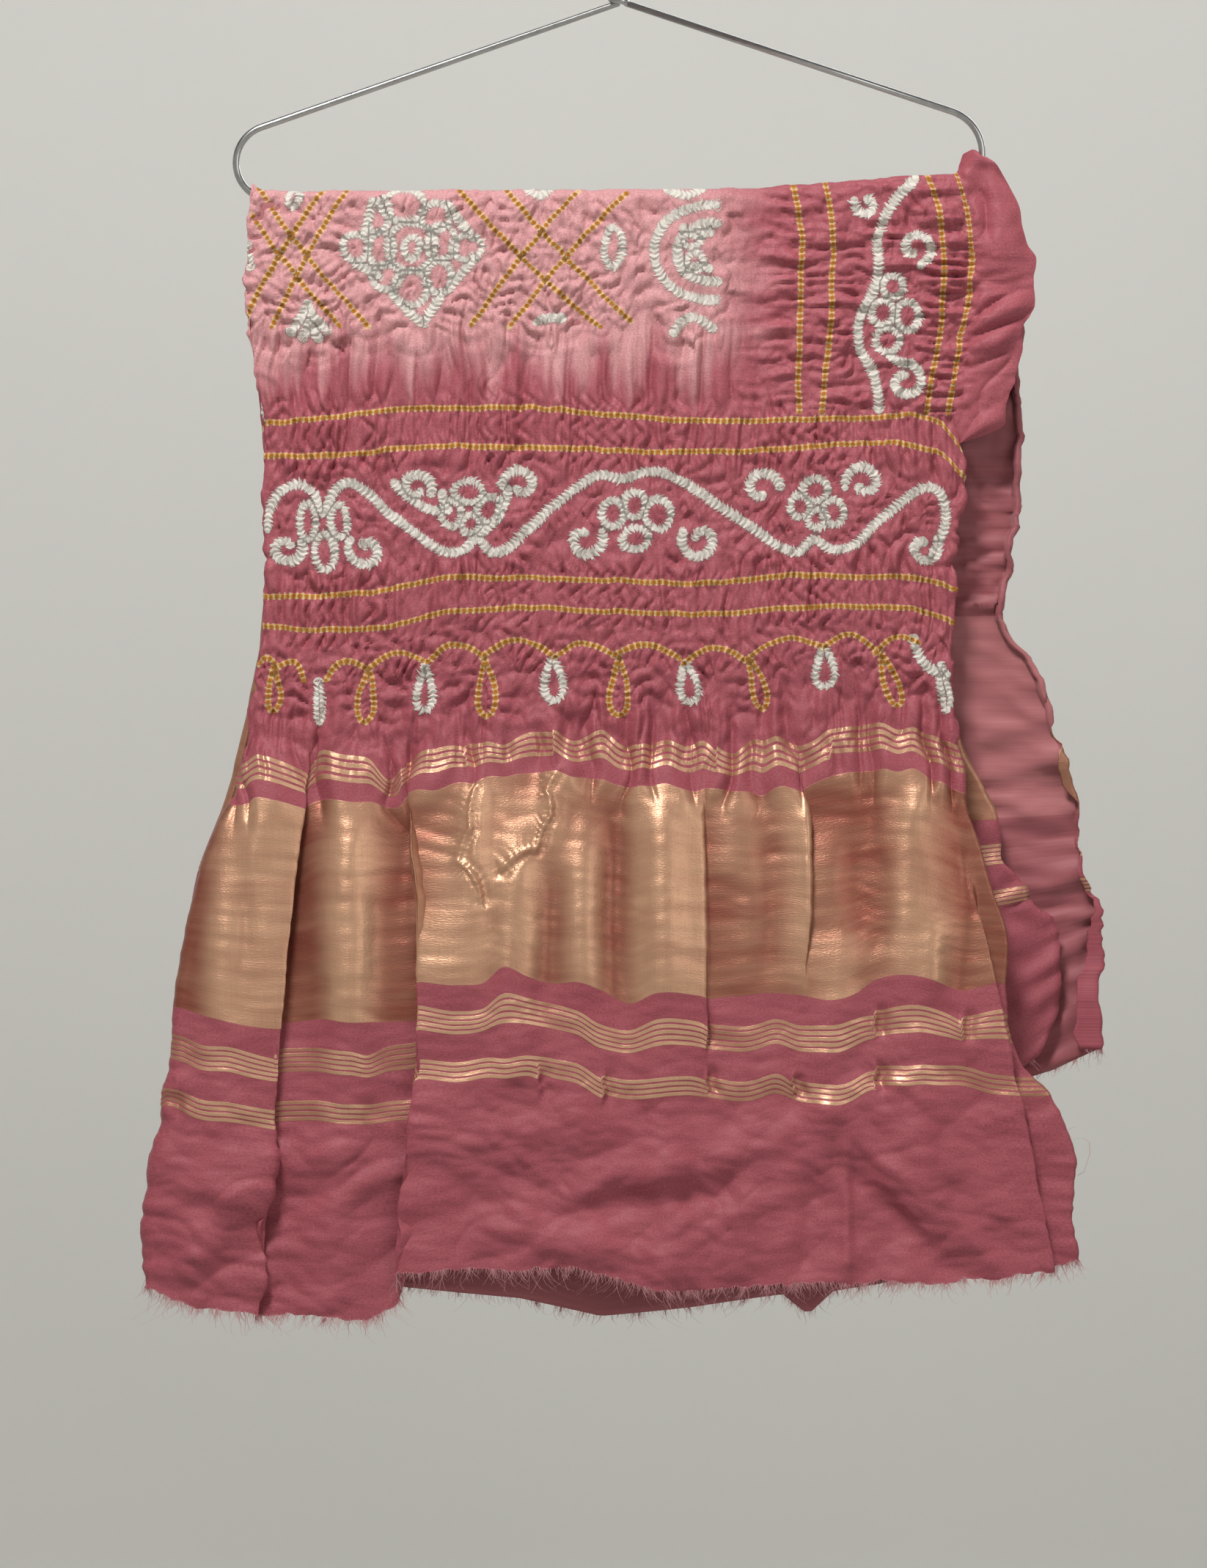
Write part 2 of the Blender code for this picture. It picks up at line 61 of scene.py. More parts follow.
# The hanger's wire and its hook
WIRE_DIAMETER = 3.8
HOOK_RADIUS = 18.0 + WIRE_DIAMETER / 2
HOOK_PAST_LEVEL = 28.0
SHANK_DROP = 60.0
SHANK_PULL = 20.0
NECK_DROP = 85.0
NECK_TURNS = 3.5
NECK_GAP = 0.4
WIRE_SIDES = 24

# The bends at the ends of the bar, as the centre and radius of the wire's own line
LEFT_BEND_X = -190.8
LEFT_BEND_RADIUS = 20.7
RIGHT_BEND_X = 176.6
RIGHT_BEND_RADIUS = 24.0
BAR_DROP = 192.3
BAR_RISE = 2.2

# The sheet
CLOTH_THICKNESS = 1.2
LAYER_GAP = 0.5
SEAT_GAP = 0.4
FRONT_FALL = 600.0
BACK_FALL = 509.0
MARGIN_WIDTH = 38.0
MARGIN_TURN_GAP = 3.6
MARGIN_TURN_START = 128.0
MARGIN_TURN_END = 156.0
INNER_CROWN = WIRE_DIAMETER / 2 + SEAT_GAP + CLOTH_THICKNESS / 2
OUTER_CROWN = INNER_CROWN + CLOTH_THICKNESS + LAYER_GAP
INNER_SHOULDER = 4.5
OUTER_SHOULDER = 6.0

# The bunch of cloth pushed up against the right bend
BUNCH_START_X = 60.0
BUNCH_RISE = 7.5
BUNCH_PEAK = 11.0
BUNCH_FADE = 20.0

# The waves of the gathered part, of two pitches that drift against each other
GATHER_PITCH = 31.0
GATHER_SIDE_PITCH = 47.0
GATHER_HEIGHT = 1.3
GATHER_END = 300.0
GATHER_LINE = 294.0
BAND_MIDDLE = 430.0

# The height from which the tables of the pattern count their drops
PATTERN_TOP = 187.06
BACK_PATTERN_SHIFT = 95.0

# A distance that counts as far from every tied line, and how far around a shape its distance is worked out
FAR_OFF = 40.0
SHAPE_REACH = 20.0

# How finely the surfaces are laid out
FRONT_COLUMNS = 520
MARGIN_COLUMNS = 36
TURN_COLUMNS = 9
ROW_PITCH = 1.32
TOP_SHEET_END = 196.0
BAND_SHEET_END = 398.0
BEHIND_CROWN = 8.0

# Each level gives, at a distance below the crown: the outer layer's left and right edge, how far it
# stands from the bar's plane, the inner layer's right edge and how far that stands out,
# and how far the margin spreads past the right edge.
Level = namedtuple("Level", "drop left right stand inner_right inner_stand margin")
FRONT_LEVELS = [Level(*row) for row in (
    (0, -202.5, 185.5, 6.6, 139.5, 4.6, 9.5), (6, -203.0, 187.0, 6.8, 140.0, 4.6, 18.0),
    (15, -203.8, 190.0, 7.2, 141.0, 4.8, 28.0), (32, -204.8, 193.0, 7.6, 142.0, 5.0, 33.5),
    (55, -206.0, 192.0, 8.0, 142.0, 5.0, 37.0), (78, -204.0, 190.0, 8.5, 141.0, 5.0, 33.0),
    (108, -199.3, 185.5, 9.0, 139.0, 5.0, 30.0), (127, -195.8, 184.0, 9.5, 138.0, 5.0, 27.0),
    (143, -195.8, 187.0, 9.8, 138.0, 5.0, 18.0), (160, -196.4, 189.0, 10.0, 138.0, 5.0, 12.0),
    (192, -194.8, 184.0, 10.4, 136.0, 5.0, 12.0), (222, -194.8, 182.5, 10.8, 134.0, 5.0, 12.0),
    (261, -198.9, 182.0, 11.2, 134.0, 5.0, 12.0), (294, -205.0, 183.5, 12.5, 136.0, 5.5, 12.0),
    (329, -211.5, 187.5, 17.5, 140.0, 6.5, 12.0), (371, -228.0, 200.0, 23.0, 152.0, 8.0, 12.0),
    (409, -239.0, 213.0, 26.5, 164.0, 9.0, 12.0), (442, -244.5, 215.5, 28.0, 168.0, 9.5, 12.0),
    (475, -245.8, 221.0, 28.5, 174.0, 10.0, 12.0), (508, -250.7, 237.0, 29.0, 190.0, 10.5, 12.0),
    (540, -257.5, 247.5, 29.5, 199.0, 11.0, 12.0), (575, -261.2, 248.0, 30.0, 201.0, 11.5, 12.0),
    (600, -261.0, 252.0, 30.0, 204.0, 12.0, 12.0),
)]
BACK_LEVELS = [Level(*row) for row in (
    (0, -202.5, 185.5, 6.6, 139.5, 4.6, 9.5), (12, -203.5, 188.0, 7.0, 140.5, 4.8, 16.0),
    (35, -205.0, 190.0, 7.6, 142.0, 5.0, 25.0), (70, -204.5, 189.0, 8.2, 145.0, 5.0, 31.0),
    (110, -199.5, 187.0, 9.0, 150.0, 5.0, 34.0), (150, -196.2, 186.0, 9.8, 157.0, 5.0, 34.0),
    (200, -195.0, 182.0, 10.6, 166.0, 5.0, 34.0), (240, -198.0, 180.0, 12.0, 176.0, 5.2, 33.5),
    (262, -201.0, 192.0, 14.5, 181.0, 5.6, 37.0), (300, -209.0, 199.0, 18.0, 189.0, 6.4, 42.0),
    (340, -220.0, 207.0, 21.0, 207.0, 7.5, 46.0), (382, -235.0, 208.0, 23.0, 217.0, 8.5, 45.0),
    (421, -241.0, 216.0, 24.0, 238.0, 9.0, 49.0), (460, -242.0, 218.0, 24.5, 244.0, 9.5, 48.0),
    (509, -240.0, 217.0, 25.0, 236.0, 10.0, 47.0),
)]

# How far the frayed hem lies below the crown at places across each layer
Hem = namedtuple("Hem", "x drop")
FRONT_OUTER_HEM = [Hem(*row) for row in (
    (-261, 604), (-228, 613), (-178, 618), (-140, 620), (-118, 592), (-70, 593), (-26, 591), (22, 604),
    (51, 602), (123, 600), (165, 599), (203, 598), (252, 588),
)]
FRONT_INNER_HEM = [Hem(*row) for row in (
    (-261, 596), (-140, 600), (-55, 608), (-10, 618), (40, 613), (90, 606), (104, 617), (118, 604),
    (204, 590),
)]
BACK_OUTER_HEM = [Hem(-242, 505), Hem(100, 512), Hem(200, 500), Hem(240, 486), Hem(266, 473)]
BACK_INNER_HEM = [Hem(-240, 500), Hem(100, 505), Hem(200, 493), Hem(229, 481), Hem(244, 470)]

# The main folds of the front fall. Each runs down past three places: under the gathers, at the middle
# of the gold band and at the hem. A tube is a rounded ridge and a twist a narrow one. A pleat folds the
# cloth over itself, and its front side is the one that lies on top: -1 is the left and 1 the right.
# A dip is how far the cloth is drawn down with the fold.
Tube = namedtuple("Tube", "name gather middle hem start end width height")
TUBES = [
    Tube("left side", -196, -210, -236, 290, 640, 17, 6.0),
    Tube("left", -148, -148, -158, 290, 640, 16, 5.0),
    Tube("centre left", -54, -54, -50, 320, 520, 14, 4.0),
    Tube("centre", -20, -16, -14, 330, 640, 12, 3.0),
    Tube("centre right", 18, 22, 26, 300, 640, 13, 5.0),
    Tube("right", 96, 118, 98, 330, 640, 14, 4.0),
    Tube("far right", 156, 162, 168, 300, 640, 17, 5.0),
]
TWISTS = [
    Tube("long twist", -78, -80, -78, 294, 410, 8, 5.0),
    Tube("short twist", -40, -32, -28, 294, 385, 8, 4.0),
]
BACK_TUBES = [
    Tube("left", -182, -204, -206, 262, 540, 17, 4.0),
    Tube("centre left", -116, -128, -134, 262, 540, 20, 4.5),
    Tube("centre", -40, -44, -30, 275, 540, 24, 3.5),
    Tube("centre right", 34, 52, 64, 262, 540, 18, 4.5),
    Tube("right", 104, 128, 132, 270, 540, 20, 4.0),
    Tube("far right", 158, 184, 196, 262, 540, 13, 3.0),
]
Pleat = namedtuple("Pleat", "name gather middle hem start end width overlap step front dip")
PLEATS = [
    Pleat("left pleat", -168, -185, -198, 290, 640, 10.0, 1.9, 4.4, -1, 3.0),
    Pleat("centre pleat", -122, -107, -121, 310, 640, 12.0, 2.1, 4.6, 1, 6.0),
    Pleat("thin crease", 45, 48, 46, 305, 500, 7.0, 1.1, 3.0, -1, 1.5),
    Pleat("right pleat", 101, 102, 100, 296, 455, 9.0, 1.7, 4.0, -1, 5.0),
    Pleat("side pleat", 176, 204, 238, 360, 640, 8.5, 1.7, 4.0, -1, 2.0),
]

# Soft ridges, and dents where the height is negative, across the plain cloth above the front hem
Ridge = namedtuple("Ridge", "name x drop angle length width height")
RIDGES = [
    Ridge("left corner", -230, 530, -22, 45, 11, 2.5),
    Ridge("under the left stripes", -165, 500, 8, 55, 9, -2.0),
    Ridge("centre upper", -52, 522, 6, 60, 10, 2.2),
    Ridge("centre dent", -62, 560, 10, 55, 11, -2.5),
    Ridge("centre rising", 55, 567, 33, 60, 13, 3.0),
    Ridge("right falling", 182, 540, -37, 75, 13, 4.0),
    Ridge("right corner dent", 150, 575, -30, 55, 11, -2.5),
]

# The tied yellow lines that run across the gathered part, by how far down each is at places across
TiedLines = namedtuple("TiedLines", "x first second third fourth")
TIED_LINES = [TiedLines(*row) for row in (
    (-202, 130, 147, 224, 240), (-160, 126, 147, 224, 243), (-117, 121, 143, 219, 239),
    (-99, 121, 142, 215, 234), (-65, 120, 142, 214, 231), (5, 125, 144, 216, 233),
    (48, 128, 145, 217, 234), (91, 127, 143, 213, 231), (135, 126, 140, 214, 230),
    (169, 126, 143, 215, 233), (179, 130, 147, 218, 236), (185, 138, 154, 221, 239),
    (199, 154, 164, 225, 243),
)]

# The tied yellow lines that run down the right border, by how far right each is at places down
BorderLines = namedtuple("BorderLines", "drop first second third fourth")
BORDER_LINES = [BorderLines(*row) for row in (
    (-10, 95, 112, 170, 186), (14, 99, 117, 177, 193), (32, 101, 118, 179, 194), (56, 100, 117, 179, 193),
    (78, 100, 116, 177, 189), (97, 99, 114, 174, 186), (126, 99, 111, 169, 181),
)]
BORDER_LINES_END = 124.0

# The woven bands of the front, by how far down each starts at places across: the top stripes, the gold
# band's upper and lower edge, and the two groups of stripes under it.
Bands = namedtuple("Bands", "x upper_stripes gold_top gold_end stripes lower_stripes")
FRONT_BANDS = [Bands(*row) for row in (
    (-247, 323, 343, 448, 463, 494), (-228, 319, 340, 454, 470, 500), (-208, 317, 338, 459, 472, 502),
    (-197, 314, 337, 461, 476, 505), (-180, 318, 341, 459, 473, 502), (-169, 322, 345, 457, 472, 501),
    (-163, 314, 338, 456, 472, 501), (-147, 312, 337, 458, 474, 503), (-137, 315, 338, 458, 476, 503),
    (-128, 326, 341, 458, 471, 501), (-119, 318, 335, 457, 468, 499), (-100, 309, 331, 436, 448, 478),
    (-87, 306, 327, 438, 452, 480), (-74, 306, 325, 436, 450, 478), (-64, 306, 323, 428, 442, 477),
    (-50, 300, 322, 433, 444, 475), (-36, 300, 321, 437, 448, 478), (-22, 304, 324, 436, 452, 481),
    (-10, 300, 326, 440, 458, 486), (6, 306, 329, 448, 462, 489), (21, 304, 327, 442, 456, 488),
    (39, 307, 332, 443, 456, 486), (48, 305, 330, 445, 458, 487), (63, 311, 331, 444, 460, 490),
    (77, 303, 333, 442, 458, 488), (87, 300, 328, 442, 456, 486), (99, 306, 332, 443, 459, 490),
    (114, 300, 326, 446, 459, 491), (128, 298, 323, 443, 456, 489), (140, 296, 322, 435, 452, 482),
    (158, 298, 321, 432, 448, 481), (177, 302, 327, 437, 452, 482), (189, 307, 333, 441, 456, 482),
    (203, 312, 336, 435, 450, 486), (220, 318, 340, 438, 454, 488),
)]

# Where the same lines lie in the flat cloth, counted down the warp
FLAT_LINES = (0.0, 126.0, 143.0, 215.0, 232.0, 305.0, 329.0, 443.0, 458.0, 487.0, 620.0)

# The groups of woven gold stripes in the flat cloth
Stripes = namedtuple("Stripes", "name start pitch count share")
STRIPES = [
    Stripes("upper stripes", 304.0, 3.9, 4, 0.62),
    Stripes("stripes", 458.0, 2.8, 5, 0.66),
    Stripes("lower stripes", 487.0, 2.9, 4, 0.66),
]
GOLD_START = 329.0
GOLD_END = 443.0

# The tied shapes. A ring is an ellipse, a drop a pointed ellipse, a bow a line bent sideways, and a curl
# a spiral that winds in from its start angle. Angles are in degrees, from the right and turning left.
WHITE_HALF = 2.5
THIN_HALF = 1.9
Ring = namedtuple("Ring", "name x drop wide high turn")
RINGS = [Ring(*row) for row in (
    ("flower 1 left petal", -171, 183, 4.5, 10, 0), ("flower 1 right petal", -154, 183, 4.5, 9, 0),
    ("flower 1 low petal", -162, 200, 5.5, 10, 0), ("flower 2 top petal", -83, 167, 8, 6, 0),
    ("flower 2 left petal", -92, 179, 5.5, 7, 0), ("flower 2 right petal", -71, 177, 7, 7, 0),
    ("flower 2 heart", -81, 185, 5, 5, 0), ("flower 3 top petal", 8.5, 174, 6, 7, 0),
    ("flower 3 right petal", 21.5, 179, 7, 8, 0), ("flower 3 low petal", 9, 193, 7, 6, 0),
    ("flower 3 left petal", -3.5, 179, 6, 7, 0), ("flower 4 top petal", 108, 166, 6.5, 6, 0),
    ("flower 4 left petal", 100, 175, 5.5, 6, 0), ("flower 4 right petal", 118, 178, 6, 7, 0),
    ("flower 4 heart", 109, 182, 5, 5, 0), ("medallion heart", -114, 32, 4.5, 6, 0),
    ("medallion frame", -114.5, 31.5, 13.5, 13.5, 0), ("medallion left tip", -145, 32, 7, 7.5, 0),
    ("medallion right tip", -83.5, 32, 8.5, 7, 0), ("medallion top", -119, 9, 11.5, 9, 0),
    ("medallion upper left", -132, 15, 5.5, 9.5, -20), ("medallion upper right", -101, 15, 8, 8, 0),
    ("medallion left", -131.5, 33, 7, 9.5, 0), ("medallion right", -97.5, 29, 8, 9.5, 0),
    ("medallion lower left", -128, 48, 8, 7, 0), ("medallion lower right", -99.5, 48.5, 7, 9, 0),
    ("medallion low", -114.5, 54, 9.5, 9.5, 0), ("leaf", -3, 32, 5, 11, 0),
    ("left spot", -179, 5, 3, 4.5, 0), ("arch bud", 40, 27, 5, 5, 0), ("arch bud low", 42, 40, 5, 5, 0),
    ("border petal top", 151, 53.5, 6, 6, 0), ("border petal left", 145, 68, 6, 7, 0),
    ("border petal right", 159, 70, 6.5, 8, 0), ("border petal low", 148, 83.5, 6.5, 6.5, 0),
)]
YELLOW_DROPS = [Ring(*row) for row in (
    ("drop", -190, 275, 4.5, 13, 0), ("drop", -139, 279, 6, 15, -5), ("drop", -73, 274, 6.5, 16, 0),
    ("drop", 0, 274, 7, 16, 0), ("drop", 76, 272, 5.5, 14, 14), ("drop", 149, 270, 5, 15, 18),
)]
WHITE_DROPS = [Ring(*row) for row in (
    ("narrow drop", -165, 283, 1.6, 11, 0), ("drop", -107, 275, 6, 12, -3), ("drop", -36, 270, 7, 12, 0),
    ("drop", 38, 272, 7, 11, 6), ("drop", 113, 263, 7, 10.5, 3), ("last drop", 179, 274, 3, 12, 8),
)]
Curl = namedtuple("Curl", "name x drop radius start turns")
CURLS = [Curl(*row) for row in (
    ("flower 1 left", -183, 198, 9.5, 25, -0.95), ("flower 1 right", -139, 199, 10.5, 155, 0.85),
    ("flower 2 left", -112, 165, 9.5, -10, 0.95), ("flower 2 right", -54, 163, 10, 190, -0.9),
    ("flower 3 left", -19, 193.5, 10.5, 25, -0.85), ("flower 3 right", 45, 193.5, 11, 155, 0.95),
    ("flower 4 left", 78, 165, 10.5, 5, 0.8), ("flower 4 right", 135, 162, 10.5, 190, -0.9),
    ("vine end", 168, 197.5, 9, 30, -0.85), ("border top", 136.5, 8, 7, 165, 0.75),
    ("border right", 163, 32, 10.5, -70, 0.9), ("border low", 157.5, 106, 10.5, 75, -0.95),
)]
Bow = namedtuple("Bow", "name x drop to_x to_drop bulge")
WHITE_BOWS = [Bow(*row) for row in (
    ("vine to curl", -124, 162, -98, 178, 3), ("vine to curl", -61, 166, -76, 190, -3),
    ("chevron left", -180, 78, -172, 64, 1), ("chevron right", -172, 64, -162, 77, 1),
    ("small chevron left", -174, 81, -170, 74, 0), ("small chevron right", -170, 74, -166, 82, 0),
    ("dash", -45, 73, -32, 71, -1), ("low arc", 30, 79, 52, 77, -7), ("top arc", 26, -1, 45, -1, 4),
    ("top spot", -50, -1, -38, -1, 4), ("stalk", -97, 168, -94, 177, 0), ("stalk", -65, 172, -66, 181, 0),
    ("bud stalk", 36, 22, 50, 24, 2), ("bud stalk low", 36, 45, 50, 44, -2),
    ("border vine top", 163, -6, 142, 28, 3), ("border vine middle", 142, 28, 135, 66, -4),
    ("border vine lower", 135, 66, 133, 88, 2), ("border vine low", 133, 88, 143, 121, -3),
    ("border stalk low", 149, 92, 158, 96, 1), ("medallion side", -141, 25, -135, 7, 0),
    ("medallion side", -94, 9, -80, 27, 0), ("medallion side", -146, 40, -133, 47, 0),
    ("medallion side", -80, 38, -94, 55, 0), ("medallion point", -125, 57, -109, 74, 0),
    ("medallion point", -98, 57, -107, 74, 0), ("left edge", -205, 31, -203, 42, 0),
    ("left edge low", -200, 118, -198, 128, 0), ("end chain", 162, 249, 181, 268, 4),
)]
YELLOW_BOWS = [Bow(*row) for row in (
    ("cross 1", -199, -1, -138, 76, 2), ("cross 1", -202, 14, -154, 75, 2),
    ("cross 1", -163, 0, -206, 72, 2), ("cross 1", -150, 0, -191, 76, 2), ("cross 2", -88, 0, -10, 76, 3),
    ("cross 2", -62, 0, 7, 73, 2), ("cross 2", -23, 1, -81, 75, 2), ("cross 2", 4, 2, -60, 76, 2),
    ("scallop", -199, 262, -189, 263, -4), ("scallop", -190, 265, -173, 271, -8),
    ("scallop", -161, 270, -139, 264, -7), ("scallop", -139, 265, -105, 261, -7),
    ("scallop", -105, 261, -75, 257, -8), ("scallop", -75, 258, -36, 257, -9),
    ("scallop", -36, 258, -3, 257, -7), ("scallop", -3, 257, 34, 259, -7),
    ("scallop", 36, 262, 70, 260, -8), ("scallop", 70, 260, 112, 252, -8),
    ("scallop", 112, 253, 141, 254, -8), ("scallop", 141, 256, 165, 250, -6),
)]

# The half oval of the round flower: two arches, from their start angle to their end angle
Arch = namedtuple("Arch", "name x drop wide high start end")
ARCHES = [Arch("half oval", 50, 35, 31, 26, 84, 276), Arch("inner half oval", 51, 35, 19, 16, 80, 280)]

# Long rounded swells of the gold band, and hollows where the height is negative
Swell = namedtuple("Swell", "name x drop angle length width height")
BAND_SWELLS = [Swell(*row) for row in (
    ("left panel", -221, 400, 86, 60, 11, 3.5), ("left panel top", -198, 358, 76, 24, 7, 2.4),
    ("left panel dip", -206, 415, 88, 45, 7, -2.2), ("second panel", -149, 397, 90, 62, 13, 4.5),
    ("beside the left pleat", -177, 397, 88, 60, 8, -3.0), ("brown dip", -104, 372, 88, 45, 13, -4.5),
    ("thin bright crease", -121, 389, 92, 26, 3, 2.4), ("third panel", -84, 412, 86, 36, 11, 3.4),
    ("third panel right", -60, 400, 90, 38, 9, 1.6), ("dip under the zigzag", -38, 417, 88, 40, 8, -3.0),
    ("fourth panel", -22, 400, 92, 42, 9, 2.2), ("middle dip", -3, 397, 90, 58, 8, -3.6),
    ("fifth panel", 27, 388, 90, 62, 13, 4.2), ("right of the crease", 62, 352, 88, 30, 9, 2.8),
    ("dark dip", 83, 385, 88, 50, 9, -3.4), ("right pleat's edge", 98, 362, 92, 50, 6, 3.2),
    ("low bright fold", 118, 424, 22, 22, 9, 1.0), ("rosy dip", 137, 366, 82, 46, 16, -3.4),
    ("upper right", 169, 332, 62, 16, 8, 2.4), ("lower right", 172, 424, 88, 22, 7, 2.8),
    ("right side dip", 188, 400, 90, 40, 5, -2.0),
)]

# The larger folds of the skirt below the last stripes
SKIRT_SWELLS = [Swell(*row) for row in (
    ("upright crease", 124, 560, 90, 38, 4, 2.6), ("hollow left of it", 104, 568, 82, 30, 9, -3.6),
    ("long slope", 158, 548, -44, 60, 8, 3.0), ("long slope's hollow", 146, 560, -44, 52, 7, -2.4),
    ("corner fold", 190, 570, -50, 40, 6, 2.6), ("middle ridge", 40, 536, 14, 60, 9, 2.6),
    ("middle hollow", 20, 556, 8, 52, 9, -2.6), ("low ridge", -10, 582, -10, 60, 9, 2.4),
    ("left ridge", -150, 548, 24, 40, 9, 3.0), ("left hollow", -176, 560, 30, 44, 9, -3.0),
    ("left low ridge", -214, 560, 60, 44, 10, 3.0), ("left inner hollow", -120, 570, 96, 44, 8, -2.4),
    ("second ridge", -60, 560, -30, 40, 9, 2.6), ("second hollow", -84, 548, -26, 36, 8, -2.4),
)]

# Short puckered tucks that cross the stripes, by where each is and half its length
Tuck = namedtuple("Tuck", "name x drop half")
TUCKS = [Tuck(*row) for row in (
    ("in the stripes", 47, 462, 9), ("in the stripes", 140, 458, 8), ("in the stripes", 188, 460, 8),
    ("in the lower stripes", -9, 494, 9), ("in the lower stripes", 48, 490, 7),
    ("in the lower stripes", 140, 488, 8), ("in the lower stripes", 95, 492, 6),
    ("left stripes", -193, 476, 10), ("left lower stripes", -245, 503, 7),
    ("middle stripes", -44, 490, 9), ("top stripes", -117, 312, 9), ("top stripes", -84, 309, 9),
    ("top stripes", -36, 308, 10), ("top stripes", 54, 311, 9), ("top stripes", 117, 313, 9),
    ("top stripes", -163, 313, 9),
)]

# Threads worked loose at the right edge: where each starts, bends towards and ends, and how far in front
LooseThread = namedtuple("LooseThread", "name front x drop bend_x bend_drop end_x end_drop")
LOOSE_THREADS = [LooseThread(*row) for row in (
    ("loop out", 10, 239, 528, 268, 512, 256, 541), ("loop back", 10, 256, 541, 247, 549, 244, 526),
    ("loop end", 10, 244, 526, 243, 518, 252, 516), ("corner loop", -18, 260, 466, 272, 462, 266, 472),
    ("corner end", -18, 266, 472, 261, 475, 262, 467),
)]

# The back margin's edge rolls forward: how much of it lies rolled over at places down the back, the share
# of its columns that stays flat, and the radius of the roll
Roll = namedtuple("Roll", "drop width")
ROLLS = [Roll(*row) for row in (
    (0, 0), (302, 0), (310, 6), (318, 10), (334, 11), (343, 4), (352, 5), (364, 3), (380, 5), (410, 8),
    (440, 14), (470, 18), (495, 19), (509, 15),
)]
ROLL_SHARE = 0.55
ROLL_RADIUS = 1.8

# The twisted cords that pucker the gold band, as bows
CORDS = [Bow(*row) for row in (
    ("first cord", -80, 330, -82, 352, 1), ("first cord", -82, 352, -87, 370, 2),
    ("first cord", -87, 370, -76, 391, -2), ("zigzag", -32, 318, -40, 331, 1),
    ("zigzag", -40, 331, -37, 345, -1), ("zigzag", -37, 345, -46, 363, 1),
    ("zigzag branch", -46, 362, -64, 374, 2),
)]

# The crests and dips of the creeper's stem, as places across and down
VINE = [
    (-194, 188), (-192, 176), (-186, 167), (-176, 163), (-168, 168), (-162, 178), (-156, 166),
    (-147, 162), (-137, 169), (-125, 180), (-110, 191), (-97, 200), (-86, 199), (-78, 193), (-70, 200),
    (-60, 197), (-46, 184), (-28, 168), (-12, 158), (2, 160), (14, 156), (28, 158), (45, 168),
    (66, 182), (84, 194), (98, 200), (108, 193), (118, 199), (130, 196), (142, 184), (156, 172),
    (168, 164), (177, 168), (180, 180), (177, 192), (172, 203),
]


def curve_through(stations, values, at):
    """The smooth curve through values at stations: cubics whose slopes come from the neighbours."""
    stations = np.asarray(stations, float)
    values = np.asarray(values, float)
    at = np.clip(at, stations[0], stations[-1])
    slopes = np.gradient(values, stations)
    i = np.clip(np.searchsorted(stations, at, side="right") - 1, 0, len(stations) - 2)
    span = stations[i + 1] - stations[i]
    t = (at - stations[i]) / span
    start = (1 + 2 * t) * (1 - t) ** 2 * values[i] + t * (1 - t) ** 2 * span * slopes[i]
    end = t * t * (3 - 2 * t) * values[i + 1] + t * t * (t - 1) * span * slopes[i + 1]
    return start + end


def ramp(value, low, high):
    """0 below low, 1 above high, and a smooth step between them."""
    t = np.clip((value - low) / (high - low), 0, 1)
    return t * t * (3 - 2 * t)


def noise(u, v, seed):
    """Smooth noise from -1 to 1: seeded heights on a grid of unit cells, blended by smooth steps."""
    heights = np.random.default_rng(seed).uniform(-1, 1, (256, 256))
    i, j = np.floor(u).astype(int), np.floor(v).astype(int)
    s, t = u - i, v - j
    s, t = s * s * (3 - 2 * s), t * t * (3 - 2 * t)
    i0, i1, j0, j1 = i % 256, (i + 1) % 256, j % 256, (j + 1) % 256
    near = heights[i0, j0] * (1 - s) + heights[i1, j0] * s
    far = heights[i0, j1] * (1 - s) + heights[i1, j1] * s
    return near * (1 - t) + far * t


def creased(u, v, seed):
    """Noise folded along its zero line, so that rounded swells meet in sharp valleys."""
    return 2 * np.abs(noise(u, v, seed)) ** 0.8 - 0.8


def facets(u, v, seed):
    """Rounded facets that meet in sharp creases: the nearness to the nearest of scattered points."""
    spots = np.random.default_rng(seed).uniform(0, 1, (2, 256, 256))
    i, j = np.floor(u).astype(int), np.floor(v).astype(int)
    nearest = np.full(i.shape, 9.0)
    for a in (-1, 0, 1):
        for b in (-1, 0, 1):
            cell = (i + a) % 256, (j + b) % 256
            nearest = np.minimum(nearest, np.hypot(i + a + spots[0][cell] - u, j + b + spots[1][cell] - v))
    return 0.45 - nearest


def read(table, column, at):
    """One column of a table along the smooth curve through its rows, at values of its first column."""
    return curve_through([row[0] for row in table], [getattr(row, column) for row in table], at)


def hem_drop(hem, x):
    return np.interp(x, [place.x for place in hem], [place.drop for place in hem])


def fold_line(fold, drop):
    """Where a fold of the front lies across, at these drops."""
    return curve_through([GATHER_LINE, BAND_MIDDLE, FRONT_FALL], [fold.gather, fold.middle, fold.hem], drop)


def shoulder(drop, height):
    """The share of its full stand that a layer has near the crown: a quarter of an ellipse."""
    return np.sqrt(1 - (1 - np.clip(drop / height, 0, 1)) ** 2)


def bar_line(x):
    """The height of the bar's own line, which rises a little to the right."""
    return BAR_RISE * (x - LEFT_BEND_X) / (RIGHT_BEND_X - LEFT_BEND_X) - BAR_DROP


def crown_line(x, crown):
    """The height of a layer's crown over the bar, climbing with the left bend on a smaller radius."""
    radius = LEFT_BEND_RADIUS - crown
    past = np.clip(LEFT_BEND_X - x, 0, 0.9 * radius)
    return bar_line(x) + crown + radius - np.sqrt(radius**2 - past**2)


def drape_top(x, crown, drop):
    """The crown's line near the top, easing into a level line further down."""
    level = crown - BAR_DROP
    return level + (crown_line(x, crown) - level) * np.exp(-drop / 12)


